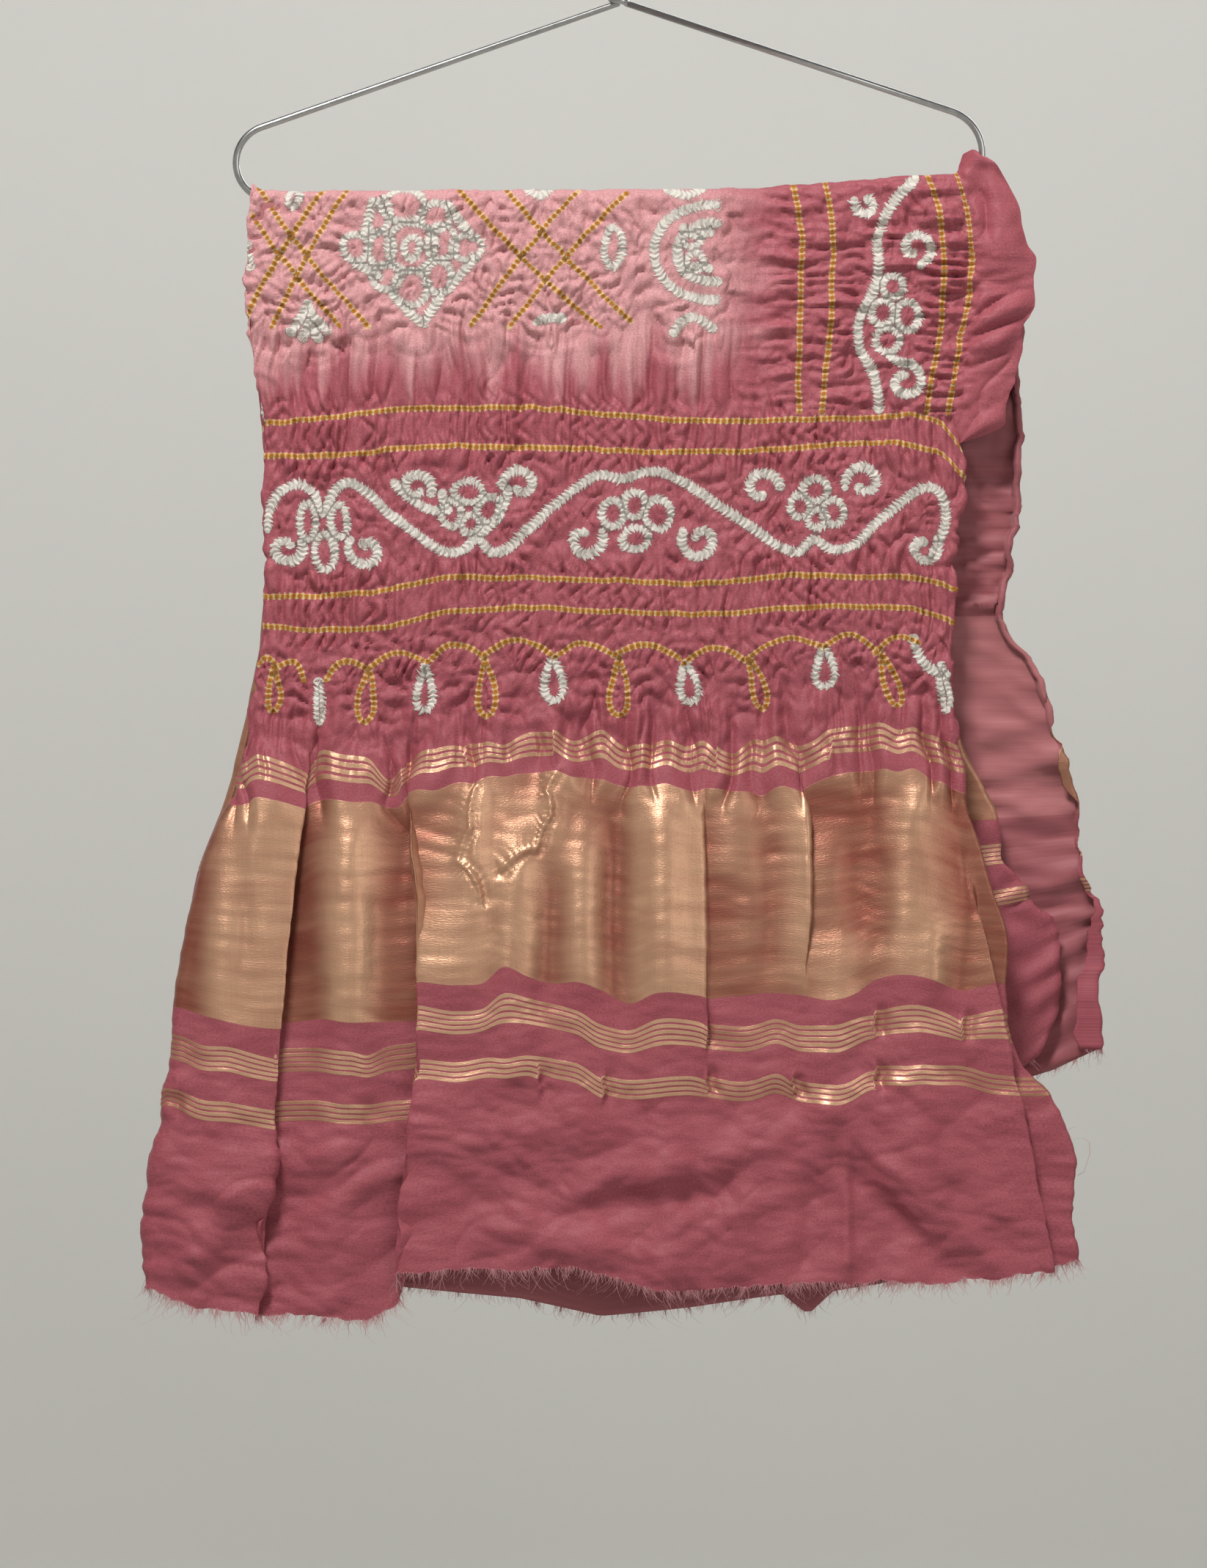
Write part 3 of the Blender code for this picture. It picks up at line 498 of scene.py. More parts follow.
def bunch_rise(x, share, drop):
    """How far the cloth is pushed up beside the right bend. Share runs across the margin from 0 to 1."""
    rise = BUNCH_RISE * ramp(x, BUNCH_START_X, 186.0) + BUNCH_PEAK * ramp(share, 0, 0.6)
    return rise * np.exp(-((drop / BUNCH_FADE) ** 2))


def raised(tubes, x, drop):
    """How far these rounded ridges raise the cloth."""
    out = np.zeros_like(x)
    for tube in tubes:
        t = (x - fold_line(tube, drop)) / tube.width
        grown = ramp(drop, tube.start, tube.start + 50) * (1 - ramp(drop, tube.end - 50, tube.end))
        out += grown * tube.height * np.exp(-t * t)
    return out


def skirt_folds(x, drop):
    """The folds' and ridges' moves across, out and down for the front layer, from its place across."""
    across, out, down = np.zeros_like(x), raised(TUBES + TWISTS, x, drop), np.zeros_like(x)
    for ridge in RIDGES:
        angle = math.radians(ridge.angle)
        dx, dz = x - ridge.x, ridge.drop - drop
        along = (dx * math.cos(angle) + dz * math.sin(angle)) / ridge.length
        beside = (dz * math.cos(angle) - dx * math.sin(angle)) / ridge.width
        out += ridge.height * np.exp(-along * along - beside * beside)
    for pleat in PLEATS:
        t = (x - fold_line(pleat, drop)) / pleat.width
        grown = ramp(drop, pleat.start, pleat.start + 55) * (1 - ramp(drop, pleat.end - 60, pleat.end))
        across -= grown * pleat.overlap * pleat.width * t * np.exp(-t * t)
        out += grown * pleat.front * pleat.step * np.tanh(2 * t) * np.exp(-((t / 2.6) ** 2))
        down += grown * pleat.dip * np.exp(-((t / 1.5) ** 2))
    return across, out, down


def fold_reach(levels, drop):
    """How far the fold down the left side reaches past the layers' own edges."""
    apart = 0.8 * read(levels, "stand", drop) - read(levels, "inner_stand", drop)
    return np.clip(apart / 2, 0.8, 6.0)


def left_edge(levels, drop):
    return read(levels, "left", drop) + fold_reach(levels, drop)


def fold_shares():
    """The shares of the outer layer's width at which the pleats and twists lie, from left to right."""
    low = float(left_edge(FRONT_LEVELS, BAND_MIDDLE))
    high = float(read(FRONT_LEVELS, "right", BAND_MIDDLE))
    folds = sorted(PLEATS + TWISTS, key=lambda fold: fold.middle)
    return [(fold, (float(fold_line(fold, BAND_MIDDLE)) - low) / (high - low)) for fold in folds]


def place_across(share, drop, front):
    """Where a share of the outer layer lies across. Columns keep to the front's folds all the way down."""
    levels = FRONT_LEVELS if front else BACK_LEVELS
    left, right = left_edge(levels, drop), read(levels, "right", drop)
    if not front:
        return left + (right - left) * share
    shares, places = [0.0], [left]
    for fold, own in fold_shares():
        shares.append(own)
        places.append(fold_line(fold, drop))
    shares.append(1.0)
    places.append(right)
    x = left + 0 * share
    for low, high, start, end in zip(shares, shares[1:], places, places[1:]):
        x = x + (end - start) * np.clip((share - low) / (high - low), 0, 1)
    folded = ramp(drop, 200.0, GATHER_LINE)
    return left + (right - left) * share + (x - left - (right - left) * share) * folded


def outer_layer(share, drop, front):
    """Points of the outer layer, from its left edge at share 0 to its right edge at share 1."""
    levels = FRONT_LEVELS if front else BACK_LEVELS
    x = place_across(share, drop, front)
    stand = read(levels, "stand", drop) * (0.8 + 0.2 * (1 - (2 * share - 1) ** 4))
    gathered = ramp(drop, 4, 30) * (1 - ramp(drop, GATHER_END - 60, GATHER_END + 30))
    wave = 0.5 + 0.3 * np.cos(2 * math.pi * x / GATHER_PITCH + 1.1 * np.sin(drop / 47))
    wave = wave + 0.2 * np.cos(2 * math.pi * x / GATHER_SIDE_PITCH - 1.4 * np.sin(drop / 71))
    stand = stand + GATHER_HEIGHT * gathered * wave
    z = drape_top(x, OUTER_CROWN, drop) - drop + bunch_rise(x, 0 * x, drop) + 0.5 * wave * np.exp(-drop / 6)
    fall, hem = (FRONT_FALL, FRONT_OUTER_HEM) if front else (BACK_FALL, BACK_OUTER_HEM)
    z = z - (hem_drop(hem, x) - fall) * ramp(drop, GATHER_LINE, fall)
    if front:
        across, out, down = skirt_folds(x, drop)
        x, stand, z = x + across, stand + out, z - down
    else:
        stand = stand + raised(BACK_TUBES, x, drop)
    y = (-1 if front else 1) * stand * shoulder(drop, OUTER_SHOULDER)
    return np.stack([x, y, z], -1)


def margin(share, drop, front):
    """Points of the plain margin past the right edge. It spreads as a flap in the upper part of the
    front and behind it lies turned under, and on the back it hangs flat all the way down."""
    levels = FRONT_LEVELS if front else BACK_LEVELS
    edge = outer_layer(np.ones_like(share), drop, front)
    rise = bunch_rise(edge[..., 0], share, drop) - bunch_rise(edge[..., 0], 0 * share, drop)
    puff = 5.0 * np.sin(math.pi * np.clip(share, 0, 1)) * ramp(drop, 6, 40)
    spread = read(levels, "margin", drop) * share
    side = -1 if front else 1
    forward = 0 * share
    if front:
        wave = 2.2 * noise(drop / 13, 0 * share, 88) + 0.8 * noise(drop / 4.6, 0 * share, 89)
        spread = spread + wave * share**2 * ramp(drop, 6, 20)
        rise = 1.12 * rise - 3.5 * ramp(share, 0.6, 1.0) * np.exp(-((drop / 5.0) ** 2))
        spread = spread + 7.0 * share * np.exp(-((drop / 8.0) ** 2))
        forward = 3.5 * ramp(share, 0.3, 0.8) * np.exp(-((drop / 12.0) ** 2))
    flat = edge + np.stack([spread, side * puff * 0.8 * (1 - 0.6 * (not front)) - forward, rise], -1)
    if not front:
        x = flat[..., 0]
        drift = hem_drop(BACK_OUTER_HEM, x) - hem_drop(BACK_OUTER_HEM, edge[..., 0])
        drift = drift * ramp(drop, GATHER_LINE, BACK_FALL)
        return flat - np.stack([0 * x, 6.0 * share * ramp(drop, 240, 320), drift], -1)
    turned = ramp(drop, MARGIN_TURN_START, MARGIN_TURN_END)
    angle = math.pi * np.clip(share * MARGIN_WIDTH / (math.pi * MARGIN_TURN_GAP / 2), 0, 1)
    back = np.clip(share * MARGIN_WIDTH - math.pi * MARGIN_TURN_GAP / 2, 0, None)
    around = np.sin(angle) * MARGIN_TURN_GAP / 2 - back
    behind = (1 - np.cos(angle)) * MARGIN_TURN_GAP / 2
    under = edge + np.stack([around, behind, 0 * share], -1)
    return flat + (under - flat) * turned[..., None]


def inner_layer(share, drop, front):
    """Points of the inner layer, from the left fold at share 0 to its right edge at share 1."""
    levels = FRONT_LEVELS if front else BACK_LEVELS
    left = left_edge(levels, drop)
    x = left + (read(levels, "inner_right", drop) - left) * share
    loose = ramp(drop, GATHER_LINE, GATHER_LINE + 80)
    stand = read(levels, "inner_stand", drop) + 1.6 * loose * np.sin(x / 17 + drop / 90)
    fall, hem = (FRONT_FALL, FRONT_INNER_HEM) if front else (BACK_FALL, BACK_INNER_HEM)
    z = drape_top(x, INNER_CROWN, drop) - drop - (hem_drop(hem, x) - fall) * ramp(drop, GATHER_LINE, fall)
    y = (-1 if front else 1) * stand * shoulder(drop, INNER_SHOULDER)
    return np.stack([x, y, z], -1)


def left_turn(share, drop, front):
    """Points of the fold down the left side: half a turn from the outer layer to the inner one."""
    outer = outer_layer(np.zeros_like(share), drop, front)
    inner = inner_layer(np.zeros_like(share), drop, front)
    middle, half = (outer + inner) / 2, (outer - inner) / 2
    angle = math.pi * share
    out = fold_reach(FRONT_LEVELS if front else BACK_LEVELS, drop) * np.sin(angle)
    edge = middle[..., 0]
    climb = (crown_line(edge - out, INNER_CROWN) - crown_line(edge, INNER_CROWN)) * np.exp(-drop / 12)
    return middle + half * np.cos(angle)[..., None] + np.stack([-out, 0 * out, climb], -1)


def crowded_shares(count):
    """Shares of the outer layer from its right edge to its left, closer together at each pleat."""
    fine = np.linspace(0, 1, 4001)
    width = FRONT_LEVELS[-1].right - FRONT_LEVELS[-1].left
    crowd = np.ones_like(fine)
    for fold, centre in fold_shares():
        crowd += 1.1 * np.exp(-(((fine - centre) * width / fold.width) ** 2))
    total = np.concatenate([[0], np.cumsum((crowd[1:] + crowd[:-1]) / 2)])
    return np.interp(np.linspace(0, 1, count), total / total[-1], fine)[::-1]


def crown_rows():
    """Rows over the crown, closer together where the cloth turns: the drop, and whether it is in front."""
    behind = BEHIND_CROWN * np.linspace(1, 0, 8)[:-1] ** 1.6
    turn = 9.0 * np.linspace(0, 1, 11)[:-1] ** 1.5
    count = round((FRONT_FALL - 9.0) / ROW_PITCH)
    fall = np.linspace(9.0, FRONT_FALL, count)
    return behind, np.concatenate([turn, fall])


def normals_of(grid):
    """Unit normals of a grid of points: the cross product of its slopes across and down."""
    across = np.gradient(grid, axis=1)
    down = np.gradient(grid, axis=0)
    normal = np.cross(across, down)
    return normal / np.maximum(np.linalg.norm(normal, axis=-1, keepdims=True), 1e-9)


def arc_points(x, drop, wide, high, turn, start, end, pointed):
    """An ellipse, or a part of one, as points from start to end degrees. Where it is pointed, its width
    also shrinks with half the angle's sine, which draws its top to a point."""
    count = max(12, int((wide + high) * abs(end - start) / 90))
    t = np.radians(np.linspace(start, end, count))
    a = np.cos(t) * wide
    b = -np.sin(t) * high
    if pointed:
        a = -np.sin(t) * wide * np.abs(np.sin(t / 2)) ** 1.2
        b = -np.cos(t) * high
    lean = math.radians(turn)
    across = x + a * math.cos(lean) + b * math.sin(lean)
    down = drop + b * math.cos(lean) - a * math.sin(lean)
    return np.stack([across, down], -1)


def curl_points(curl):
    """A spiral whose radius shrinks to a third as it winds in by its number of turns."""
    t = np.linspace(0, 1, 40)
    angle = math.radians(curl.start) + 2 * math.pi * curl.turns * t
    radius = curl.radius * (1 - 0.66 * t)
    return np.stack([curl.x + radius * np.cos(angle), curl.drop - radius * np.sin(angle)], -1)


def bow_points(bow):
    """A line between two places, pushed sideways by a half sine wave. A negative bulge rises."""
    t = np.linspace(0, 1, max(8, int(math.dist((bow.x, bow.drop), (bow.to_x, bow.to_drop)))))
    length = max(math.dist((bow.x, bow.drop), (bow.to_x, bow.to_drop)), 1e-6)
    side = np.array([-(bow.to_drop - bow.drop), bow.to_x - bow.x]) / length
    line = np.array([bow.x, bow.drop]) + t[:, None] * np.array([bow.to_x - bow.x, bow.to_drop - bow.drop])
    return line + side * bow.bulge * np.sin(math.pi * t)[:, None]


def vine_spans():
    """The creeper's stem as short spans of the smooth curve through its crests and dips."""
    places = np.array(VINE, float)
    steps = np.arange(len(places))
    spans = []
    for i in range(len(places) - 1):
        at = np.linspace(i, i + 1, 24)
        spans.append(np.stack([curve_through(steps, places[:, k], at) for k in (0, 1)], -1))
    return spans


def white_shapes():
    """Every white tied line as its points and half its width."""
    shapes = [(arc_points(a.x, a.drop, a.wide, a.high, 0, a.start, a.end, False),
               WHITE_HALF) for a in ARCHES]
    shapes += [(arc_points(*ring[1:], 0, 360, False), THIN_HALF) for ring in RINGS]
    shapes += [(arc_points(*ring[1:], 0, 360, True), THIN_HALF) for ring in WHITE_DROPS]
    shapes += [(curl_points(curl), WHITE_HALF) for curl in CURLS]
    shapes += [(bow_points(bow), WHITE_HALF) for bow in WHITE_BOWS]
    shapes += [(span, WHITE_HALF) for span in vine_spans()]
    return shapes


def yellow_shapes():
    """Every yellow dotted shape as its points, with the straight tied lines left to their own tables."""
    shapes = [(arc_points(*ring[1:], 0, 360, True), 0.0) for ring in YELLOW_DROPS]
    shapes += [(bow_points(bow), 0.0) for bow in YELLOW_BOWS]
    return shapes


def distances(shapes, x, drop, reach):
    """For each place, how far it is past the edge of the nearest shape's line, and how far along the
    line that is: the least distance to the shape's points, looked for inside its own box."""
    far, along = np.full(x.shape, FAR_OFF), np.zeros(x.shape)
    start = 0.0
    for points, half in shapes:
        run = start + np.concatenate([[0], np.cumsum(np.linalg.norm(np.diff(points, axis=0), axis=1))])
        start = run[-1]
        low, high = points.min(0) - reach, points.max(0) + reach
        near = (x > low[0]) & (x < high[0]) & (drop > low[1]) & (drop < high[1])
        if not near.any():
            continue
        a, b = points[:-1], points[1:]
        px, pv = x[near][:, None], drop[near][:, None]
        edge = b - a
        size = np.maximum((edge**2).sum(1), 1e-9)
        t = np.clip(((px - a[:, 0]) * edge[:, 0] + (pv - a[:, 1]) * edge[:, 1]) / size, 0, 1)
        gap = np.hypot(px - a[:, 0] - t * edge[:, 0], pv - a[:, 1] - t * edge[:, 1])
        best = gap.argmin(1)
        rows = np.arange(len(best))
        gap_here = gap[rows, best] - half
        along_here = run[best] + t[rows, best] * np.sqrt(size[best])
        closer = gap_here < far[near]
        far[near] = np.where(closer, gap_here, far[near])
        along[near] = np.where(closer, along_here, along[near])
    return far, along


def tied_lines(x, drop, far, along):
    """Adds the straight tied lines to the distances of the yellow shapes."""
    for name in TiedLines._fields[1:]:
        line = read(TIED_LINES, name, x)
        gap = np.abs(drop - line)
        gap = np.where(x > TIED_LINES[-1].x + 6, FAR_OFF, gap)
        closer = gap < far
        far, along = np.where(closer, gap, far), np.where(closer, x * 1.02 + 900, along)
        down = read(BORDER_LINES, name, drop)
        gap = np.abs(x - down) + FAR_OFF * ramp(drop, BORDER_LINES_END, BORDER_LINES_END + 3)
        closer = gap < far
        far, along = np.where(closer, gap, far), np.where(closer, drop + 400, along)
    return far, along


def flat_place(x, drop):
    """How far down the flat cloth a place lies, read between the drops of the lines that cross it."""
    lines = [np.zeros_like(x)]
    lines += [read(TIED_LINES, name, x) for name in TiedLines._fields[1:]]
    lines += [read(FRONT_BANDS, name, x) for name in Bands._fields[1:]]
    lines.append(lines[-1] + 133.0)
    place = drop.copy()
    for low, high, flat_low, flat_high in zip(lines, lines[1:], FLAT_LINES, FLAT_LINES[1:]):
        share = (drop - low) / (high - low)
        inside = (share >= 0) & (share < 1)
        place = np.where(inside, flat_low + (flat_high - flat_low) * share, place)
    return np.where(drop >= lines[-1], FLAT_LINES[-1] + drop - lines[-1], place)


def light_dye(x, drop):
    """How light the ground is: 1 in the pale field, fading in streaks down to the first tied line and
    across to the right border."""
    streak = 16 * noise(x / 9, 0 * x, 3) + 9 * noise(x / 3.1, drop / 60, 4)
    down = 1 - ramp(drop + streak, 78, 112)
    bleed = 11 * noise(drop / 6, x / 40, 5)
    across = 1 - ramp(x + bleed, 38, 92)
    return down * across


def tie_creases(far, along, reach, pitch, close, seed):
    """Creases that cross a tied line: rounded swells along it with sharp valleys, fading away from it.
    Every other swell or so runs on further from the line than the rest."""
    near = np.clip(far, 0, None)
    phase = along / pitch + 0.5 * noise(along / (2.1 * pitch), near / 7, seed)
    swell = np.abs(np.sin(math.pi * phase)) - 0.6
    wide_phase = along / (1.9 * pitch) + 0.8 * noise(along / (3.6 * pitch), near / 11, seed + 1)
    wide = np.abs(np.sin(math.pi * wide_phase)) ** 0.8 - 0.6
    strength = 1 + 0.7 * noise(along / 11, near / 13, seed + 2)
    at_line = close * np.exp(-((near / 6.0) ** 2))
    beyond = ramp(near, 1.5, 5.0) * (1 - ramp(near, 0.8 * reach, 1.7 * reach))
    return swell * at_line + wide * strength * beyond


def swells(table, x, drop):
    """The height of a table of long rounded swells: each falls off along and beside its own line."""
    out = np.zeros_like(x)
    for swell in table:
        angle = math.radians(swell.angle)
        dx, dz = x - swell.x, swell.drop - drop
        along = (dx * math.cos(angle) + dz * math.sin(angle)) / swell.length
        beside = (dz * math.cos(angle) - dx * math.sin(angle)) / swell.width
        out += swell.height * np.exp(-along**4 - beside * beside)
    return out


def cords(x, drop):
    """The twisted cords of the gold band: a sharp ridge along each line with a valley to its right."""
    far = np.full(x.shape, FAR_OFF)
    out = np.zeros_like(x)
    for bow in CORDS:
        points = bow_points(bow)
        wander = 0.8 * noise(x / 9, drop / 9, 79)
        gap, along = distances([(points, 0.0)], x + wander, drop, 12.0)
        side = np.sign((x - bow.x) * (bow.to_drop - bow.drop) - (drop - bow.drop) * (bow.to_x - bow.x))
        ridge = 1.1 * np.exp(-((gap / 1.4) ** 2)) - 1.1 * np.exp(-(((gap - 3.6) / 2.4) ** 2)) * (side > 0)
        pucker = 0.9 * (np.abs(np.sin(math.pi * along / 3.4 + 2 * noise(x / 6, drop / 6, 78))) - 0.6)
        ridge = ridge + pucker * np.exp(-((gap / 5.0) ** 2))
        out = np.where(gap < far, ridge * (gap < 11), out)
        far = np.minimum(far, gap)
    return out


def tucks(x, drop):
    """How far the short tucks lift the cloth, and how far they draw the weave down beside them."""
    height, pull = np.zeros_like(x), np.zeros_like(x)
    for tuck in TUCKS:
        beside = x - tuck.x + 0.8 * noise(drop / 5, 0 * x, 58)
        along = np.exp(-(((drop - tuck.drop) / tuck.half) ** 4))
        bead = 0.6 + 0.4 * np.abs(np.sin(math.pi * drop / 3.2))
        ridge = 1.5 * bead * np.exp(-((beside / 1.3) ** 2)) - 2.2 * np.exp(-(((beside - 4) / 3.2) ** 2))
        height += along * ridge
        pull += along * 1.8 * np.exp(-np.abs(beside) / 5) * np.sign(beside)
    return height, pull


def front_relief(x, drop, flat, white, yellow, share_of_margin):
    """How far each place stands from the plain draped surface, in millimetres: creases at the tied
    lines, upright folds of the gathered ground, the fan under the drops, and wrinkles of the skirt.
    Each line adds one kind of crease. Its first number is how high that stands, the numbers that divide
    are how wide it is in millimetres across and down, and the last number in a call seeds its noise."""
    gathered = 1 - ramp(flat, 296, 330)
    body = 1 - ramp(share_of_margin, 0.02, 0.25)
    border = ramp(x, 58, 88) * (1 - ramp(drop, 116, 128))
    height = 2.2 * tie_creases(yellow[0], yellow[1], 12.0, 4.7, 0.6, 11) * gathered
    height += 2.3 * tie_creases(white[0], white[1], 12.0, 4.2, 0.25, 21) * gathered
    lean = x + 3.0 * noise(x / 22, drop / 26, 31)
    upright = creased(lean / 8.0, drop / 75, 32)
    fine_upright = creased(lean / 3.9, drop / 26, 33)
    pale = ramp(drop, 62, 84) * (1 - ramp(drop, 114, 126)) * (1 - border)
    first, second, third, fourth = [read(TIED_LINES, name, x) for name in TiedLines._fields[1:]]
    between = ramp(drop, first - 3, first + 2) * (1 - ramp(drop, second + 4, second + 16))
    lower = ramp(drop, third - 14, third - 3) * (1 - ramp(drop, fourth + 3, fourth + 14))
    tight = np.maximum(between, lower)
    height += gathered * (1 - border) * (0.6 + 1.7 * pale + 0.7 * tight) * upright
    height += gathered * (1 - border) * (0.3 + 0.9 * pale + 1.3 * tight) * fine_upright
    slope = drop + 2.5 * noise(x / 20, drop / 16, 41)
    rucked = ramp(x, 160, 172)
    height += border * 1.9 * creased(slope / 4.8, x / 30, 42) * (1 + 0.3 * rucked)
    height += border * 0.9 * creased(slope / 3.2, x / 14, 43) * (1 + 0.6 * rucked)
    height += 0.15 * noise(x / 3.1, drop / 3.1, 52) * gathered
    loose = gathered * (1 - tight) * (1 - 0.8 * pale)
    warp_x = x + 5 * noise(x / 17, drop / 17, 53)
    warp_drop = drop + 5 * noise(x / 15, drop / 15, 55)
    height += loose * 2.6 * facets(warp_x / 13, warp_drop / 15, 54) * (1 - 0.6 * border)
    height += loose * 1.0 * facets(warp_x / 5.5, warp_drop / 7, 56)
    height += (pale + 0.8 * tight) * gathered * 1.5 * facets(lean / 5.4, drop / 34, 57)
    fan = ramp(flat, 258, 292) * (1 - ramp(flat, 322, 350))
    height += 3.4 * fan * creased(x / 11 + 0.5 * noise(x / 26, drop / 20, 61), drop / 80, 62)
    narrow = creased(x / 4.8 + 0.4 * noise(x / 16, drop / 14, 64), drop / 32, 63)
    height += 1.8 * fan * (1 - ramp(flat, 306, 326)) * narrow
    gold = ramp(flat, 318, 342)
    below = ramp(flat, 436, 452)
    skirt = ramp(flat, 446, 500)
    height += gold * swells(BAND_SWELLS, x, drop)
    height += gold * (1 - skirt) * cords(x, drop)
    bend = drop + 5.0 * noise(x / 26, drop / 50, 71)
    height += 0.35 * gold * creased(bend / 11, x / 30, 72) * (0.6 + 0.4 * noise(x / 40, drop / 25, 77))
    bent = drop + 4 * noise(x / 18, drop / 30, 74)
    height += 0.7 * gold * (1 - below) * facets(bent / 8, x / 38, 73)
    height += 0.55 * gold * (1 - skirt) * noise(x / 9 + 0.5 * noise(x / 30, drop / 20, 75), drop / 34, 76)
    height += 1.1 * below * noise(x / 14, drop / 30, 83) * (1 - 0.5 * skirt)
    height += swells(SKIRT_SWELLS, x, drop) * skirt * 1.3
    height += tucks(x, drop)[0]
    height += 1.6 * skirt * noise(x / 34 + drop / 40, drop / 24, 81)
    lean = drop + 0.5 * x + 8 * noise(x / 26, drop / 26, 88)
    rise = drop - 0.6 * x + 8 * noise(x / 24, drop / 24, 89)
    strength = 0.5 + 0.6 * noise(x / 50, drop / 40, 91)
    height += 1.2 * skirt * creased(lean / 15, (x - drop) / 40, 83) * strength
    strength = 0.6 + 0.5 * noise(x / 60, drop / 50, 90)
    height += 4.6 * skirt * facets(lean / 26, (x - 0.4 * drop) / 44, 82) * strength
    strength = 0.6 + 0.5 * noise(x / 50, drop / 40, 99)
    height += 2.4 * skirt * facets(rise / 12, (x + drop) / 26, 98) * strength
    height += 0.8 * below * facets(drop / 5.5 + 0.5 * noise(x / 12, drop / 12, 100), x / 15, 84)
    flap = 1 - ramp(drop, 120, 140)
    slope = drop + 14 * share_of_margin + 5 * noise(drop / 22, share_of_margin * 2, 87)
    bulge = np.sin(math.pi * np.clip(share_of_margin, 0, 1)) ** 0.6
    fold = creased(slope / 13, share_of_margin * 1.5, 85) * bulge
    small = creased(drop / 4.2, share_of_margin * 4, 86) * (1 - ramp(share_of_margin, 0.15, 0.5))
    ruffled = 3.4 * fold + 1.3 * small + 0.8 * facets(slope / 9, share_of_margin * 3, 86)
    return height * (0.15 + 0.85 * body) + flap * (1 - body) * ruffled


def grid_faces(rows, columns):
    corner = np.arange(rows * columns).reshape(rows, columns)
    return np.stack([corner[:-1, :-1], corner[:-1, 1:], corner[1:, 1:], corner[1:, :-1]], -1).reshape(-1, 4)


def cloth_mesh(name, grid, fields, across, down, normals=None):
    """One sheet's object from its grid of points in millimetres, with a field for each attribute."""
    rows, columns = grid.shape[:2]
    faces = grid_faces(rows, columns)
    mesh = bpy.data.meshes.new(name)
    mesh.vertices.add(rows * columns)
    mesh.vertices.foreach_set("co", (grid * MM).reshape(-1))
    mesh.loops.add(faces.size)
    mesh.loops.foreach_set("vertex_index", faces.reshape(-1))
    mesh.polygons.add(len(faces))
    mesh.polygons.foreach_set("loop_start", np.arange(0, faces.size, 4))
    mesh.update(calc_edges=True)
    for key, values in fields.items():
        layer = mesh.attributes.new(key, "FLOAT", "POINT")
        layer.data.foreach_set("value", values.astype(np.float32).reshape(-1))
    chart = mesh.uv_layers.new(name="cloth")
    places = np.stack([across, down], -1).reshape(-1, 2)[faces.reshape(-1)] * MM
    chart.data.foreach_set("uv", places.astype(np.float32).reshape(-1))
    mesh.shade_smooth()
    if normals is not None:
        mesh.normals_split_custom_set_from_vertices(normals.reshape(-1, 3))
    piece = bpy.data.objects.new(name, mesh)
    bpy.context.scene.collection.objects.link(piece)
    return piece


def linear(value):
    """A colour written as sRGB hex, such as #924e57, as linear red, green, blue."""
    parts = [int(value[i:i + 2], 16) / 255 for i in (1, 3, 5)]
    return tuple(c / 12.92 if c <= 0.04045 else ((c + 0.055) / 1.055) ** 2.4 for c in parts)


def add(tree, kind, *values, out=0, **settings):
    """Adds a node and returns one of its outputs. The values, or other nodes' outputs, go to its inputs in
    their order. A setting with a capital is the input of that name, and any other is a property."""
    node = tree.nodes.new("ShaderNode" + kind)
    inputs = {key: value for key, value in settings.items() if key[0].isupper()}
    for key, value in settings.items():
        if key not in inputs:
            setattr(node, key, value)
    used = [socket for socket in node.inputs if socket.enabled]
    named = [(node.inputs[key], value) for key, value in inputs.items()]
    for socket, value in [*zip(used, values), *named]:
        if isinstance(value, bpy.types.NodeSocket):
            tree.links.new(value, socket)
        else:
            socket.default_value = value
    used = [socket for socket in node.outputs if socket.enabled]
    return node.outputs[out] if isinstance(out, str) else used[out]


def new_material(name):
    material = bpy.data.materials.new(name)
    material.use_nodes = True
    tree = material.node_tree
    shader = tree.nodes["Principled BSDF"]
    return material, tree, shader


def rgba(value):
    return (*linear(value), 1.0)


# Streaks of the weave, by the millimetres that one takes across and down. The satin's warp floats are
# about 0.35 mm apart and are drawn at twice that, as the others are, so that they show.
Streak = namedtuple("Streak", "name across down detail rough")
STREAKS = [Streak(*row) for row in (
    ("warp", 0.7143, 16.667, 2.0, 0.5), ("weft", 22.222, 0.90909, 2.0, 0.5), ("slub", 111.11, 3.8462, 2.0,
                                                                              0.5),
    ("patch", 38.462, 16.667, 2.0, 0.5), ("grain", 1.1111, 0.76923, 1.0, 0.5),
    ("twill", 1.4286, 0.66667, 1.0, 0.5), ("wrong side", 83.333, 3.0303, 3.0, 0.6),
    ("wrong weft", 16.667, 0.90909, 2.0, 0.5),
)]

# The pitch in millimetres of the crimps in a tied white line, and of the knots in a yellow one
CRIMP_PITCH = 2.7
KNOT_PITCH = 3.3


def streaks(tree, place, name):
    """Noise drawn out to the size of one kind of streak in the weave."""
    size = next(streak for streak in STREAKS if streak.name == name)
    scaled = add(tree, "Mapping", place, Scale=(1000 / size.across, 1000 / size.down, 1.0))
    return add(tree, "TexNoise", scaled, 1.0, size.detail, size.rough)


def weighted(tree, start, *terms):
    """A start plus each term times its own weight."""
    total = start
    for value, weight in terms:
        total = add(tree, "Math", value, weight, total, operation="MULTIPLY_ADD")
    return total


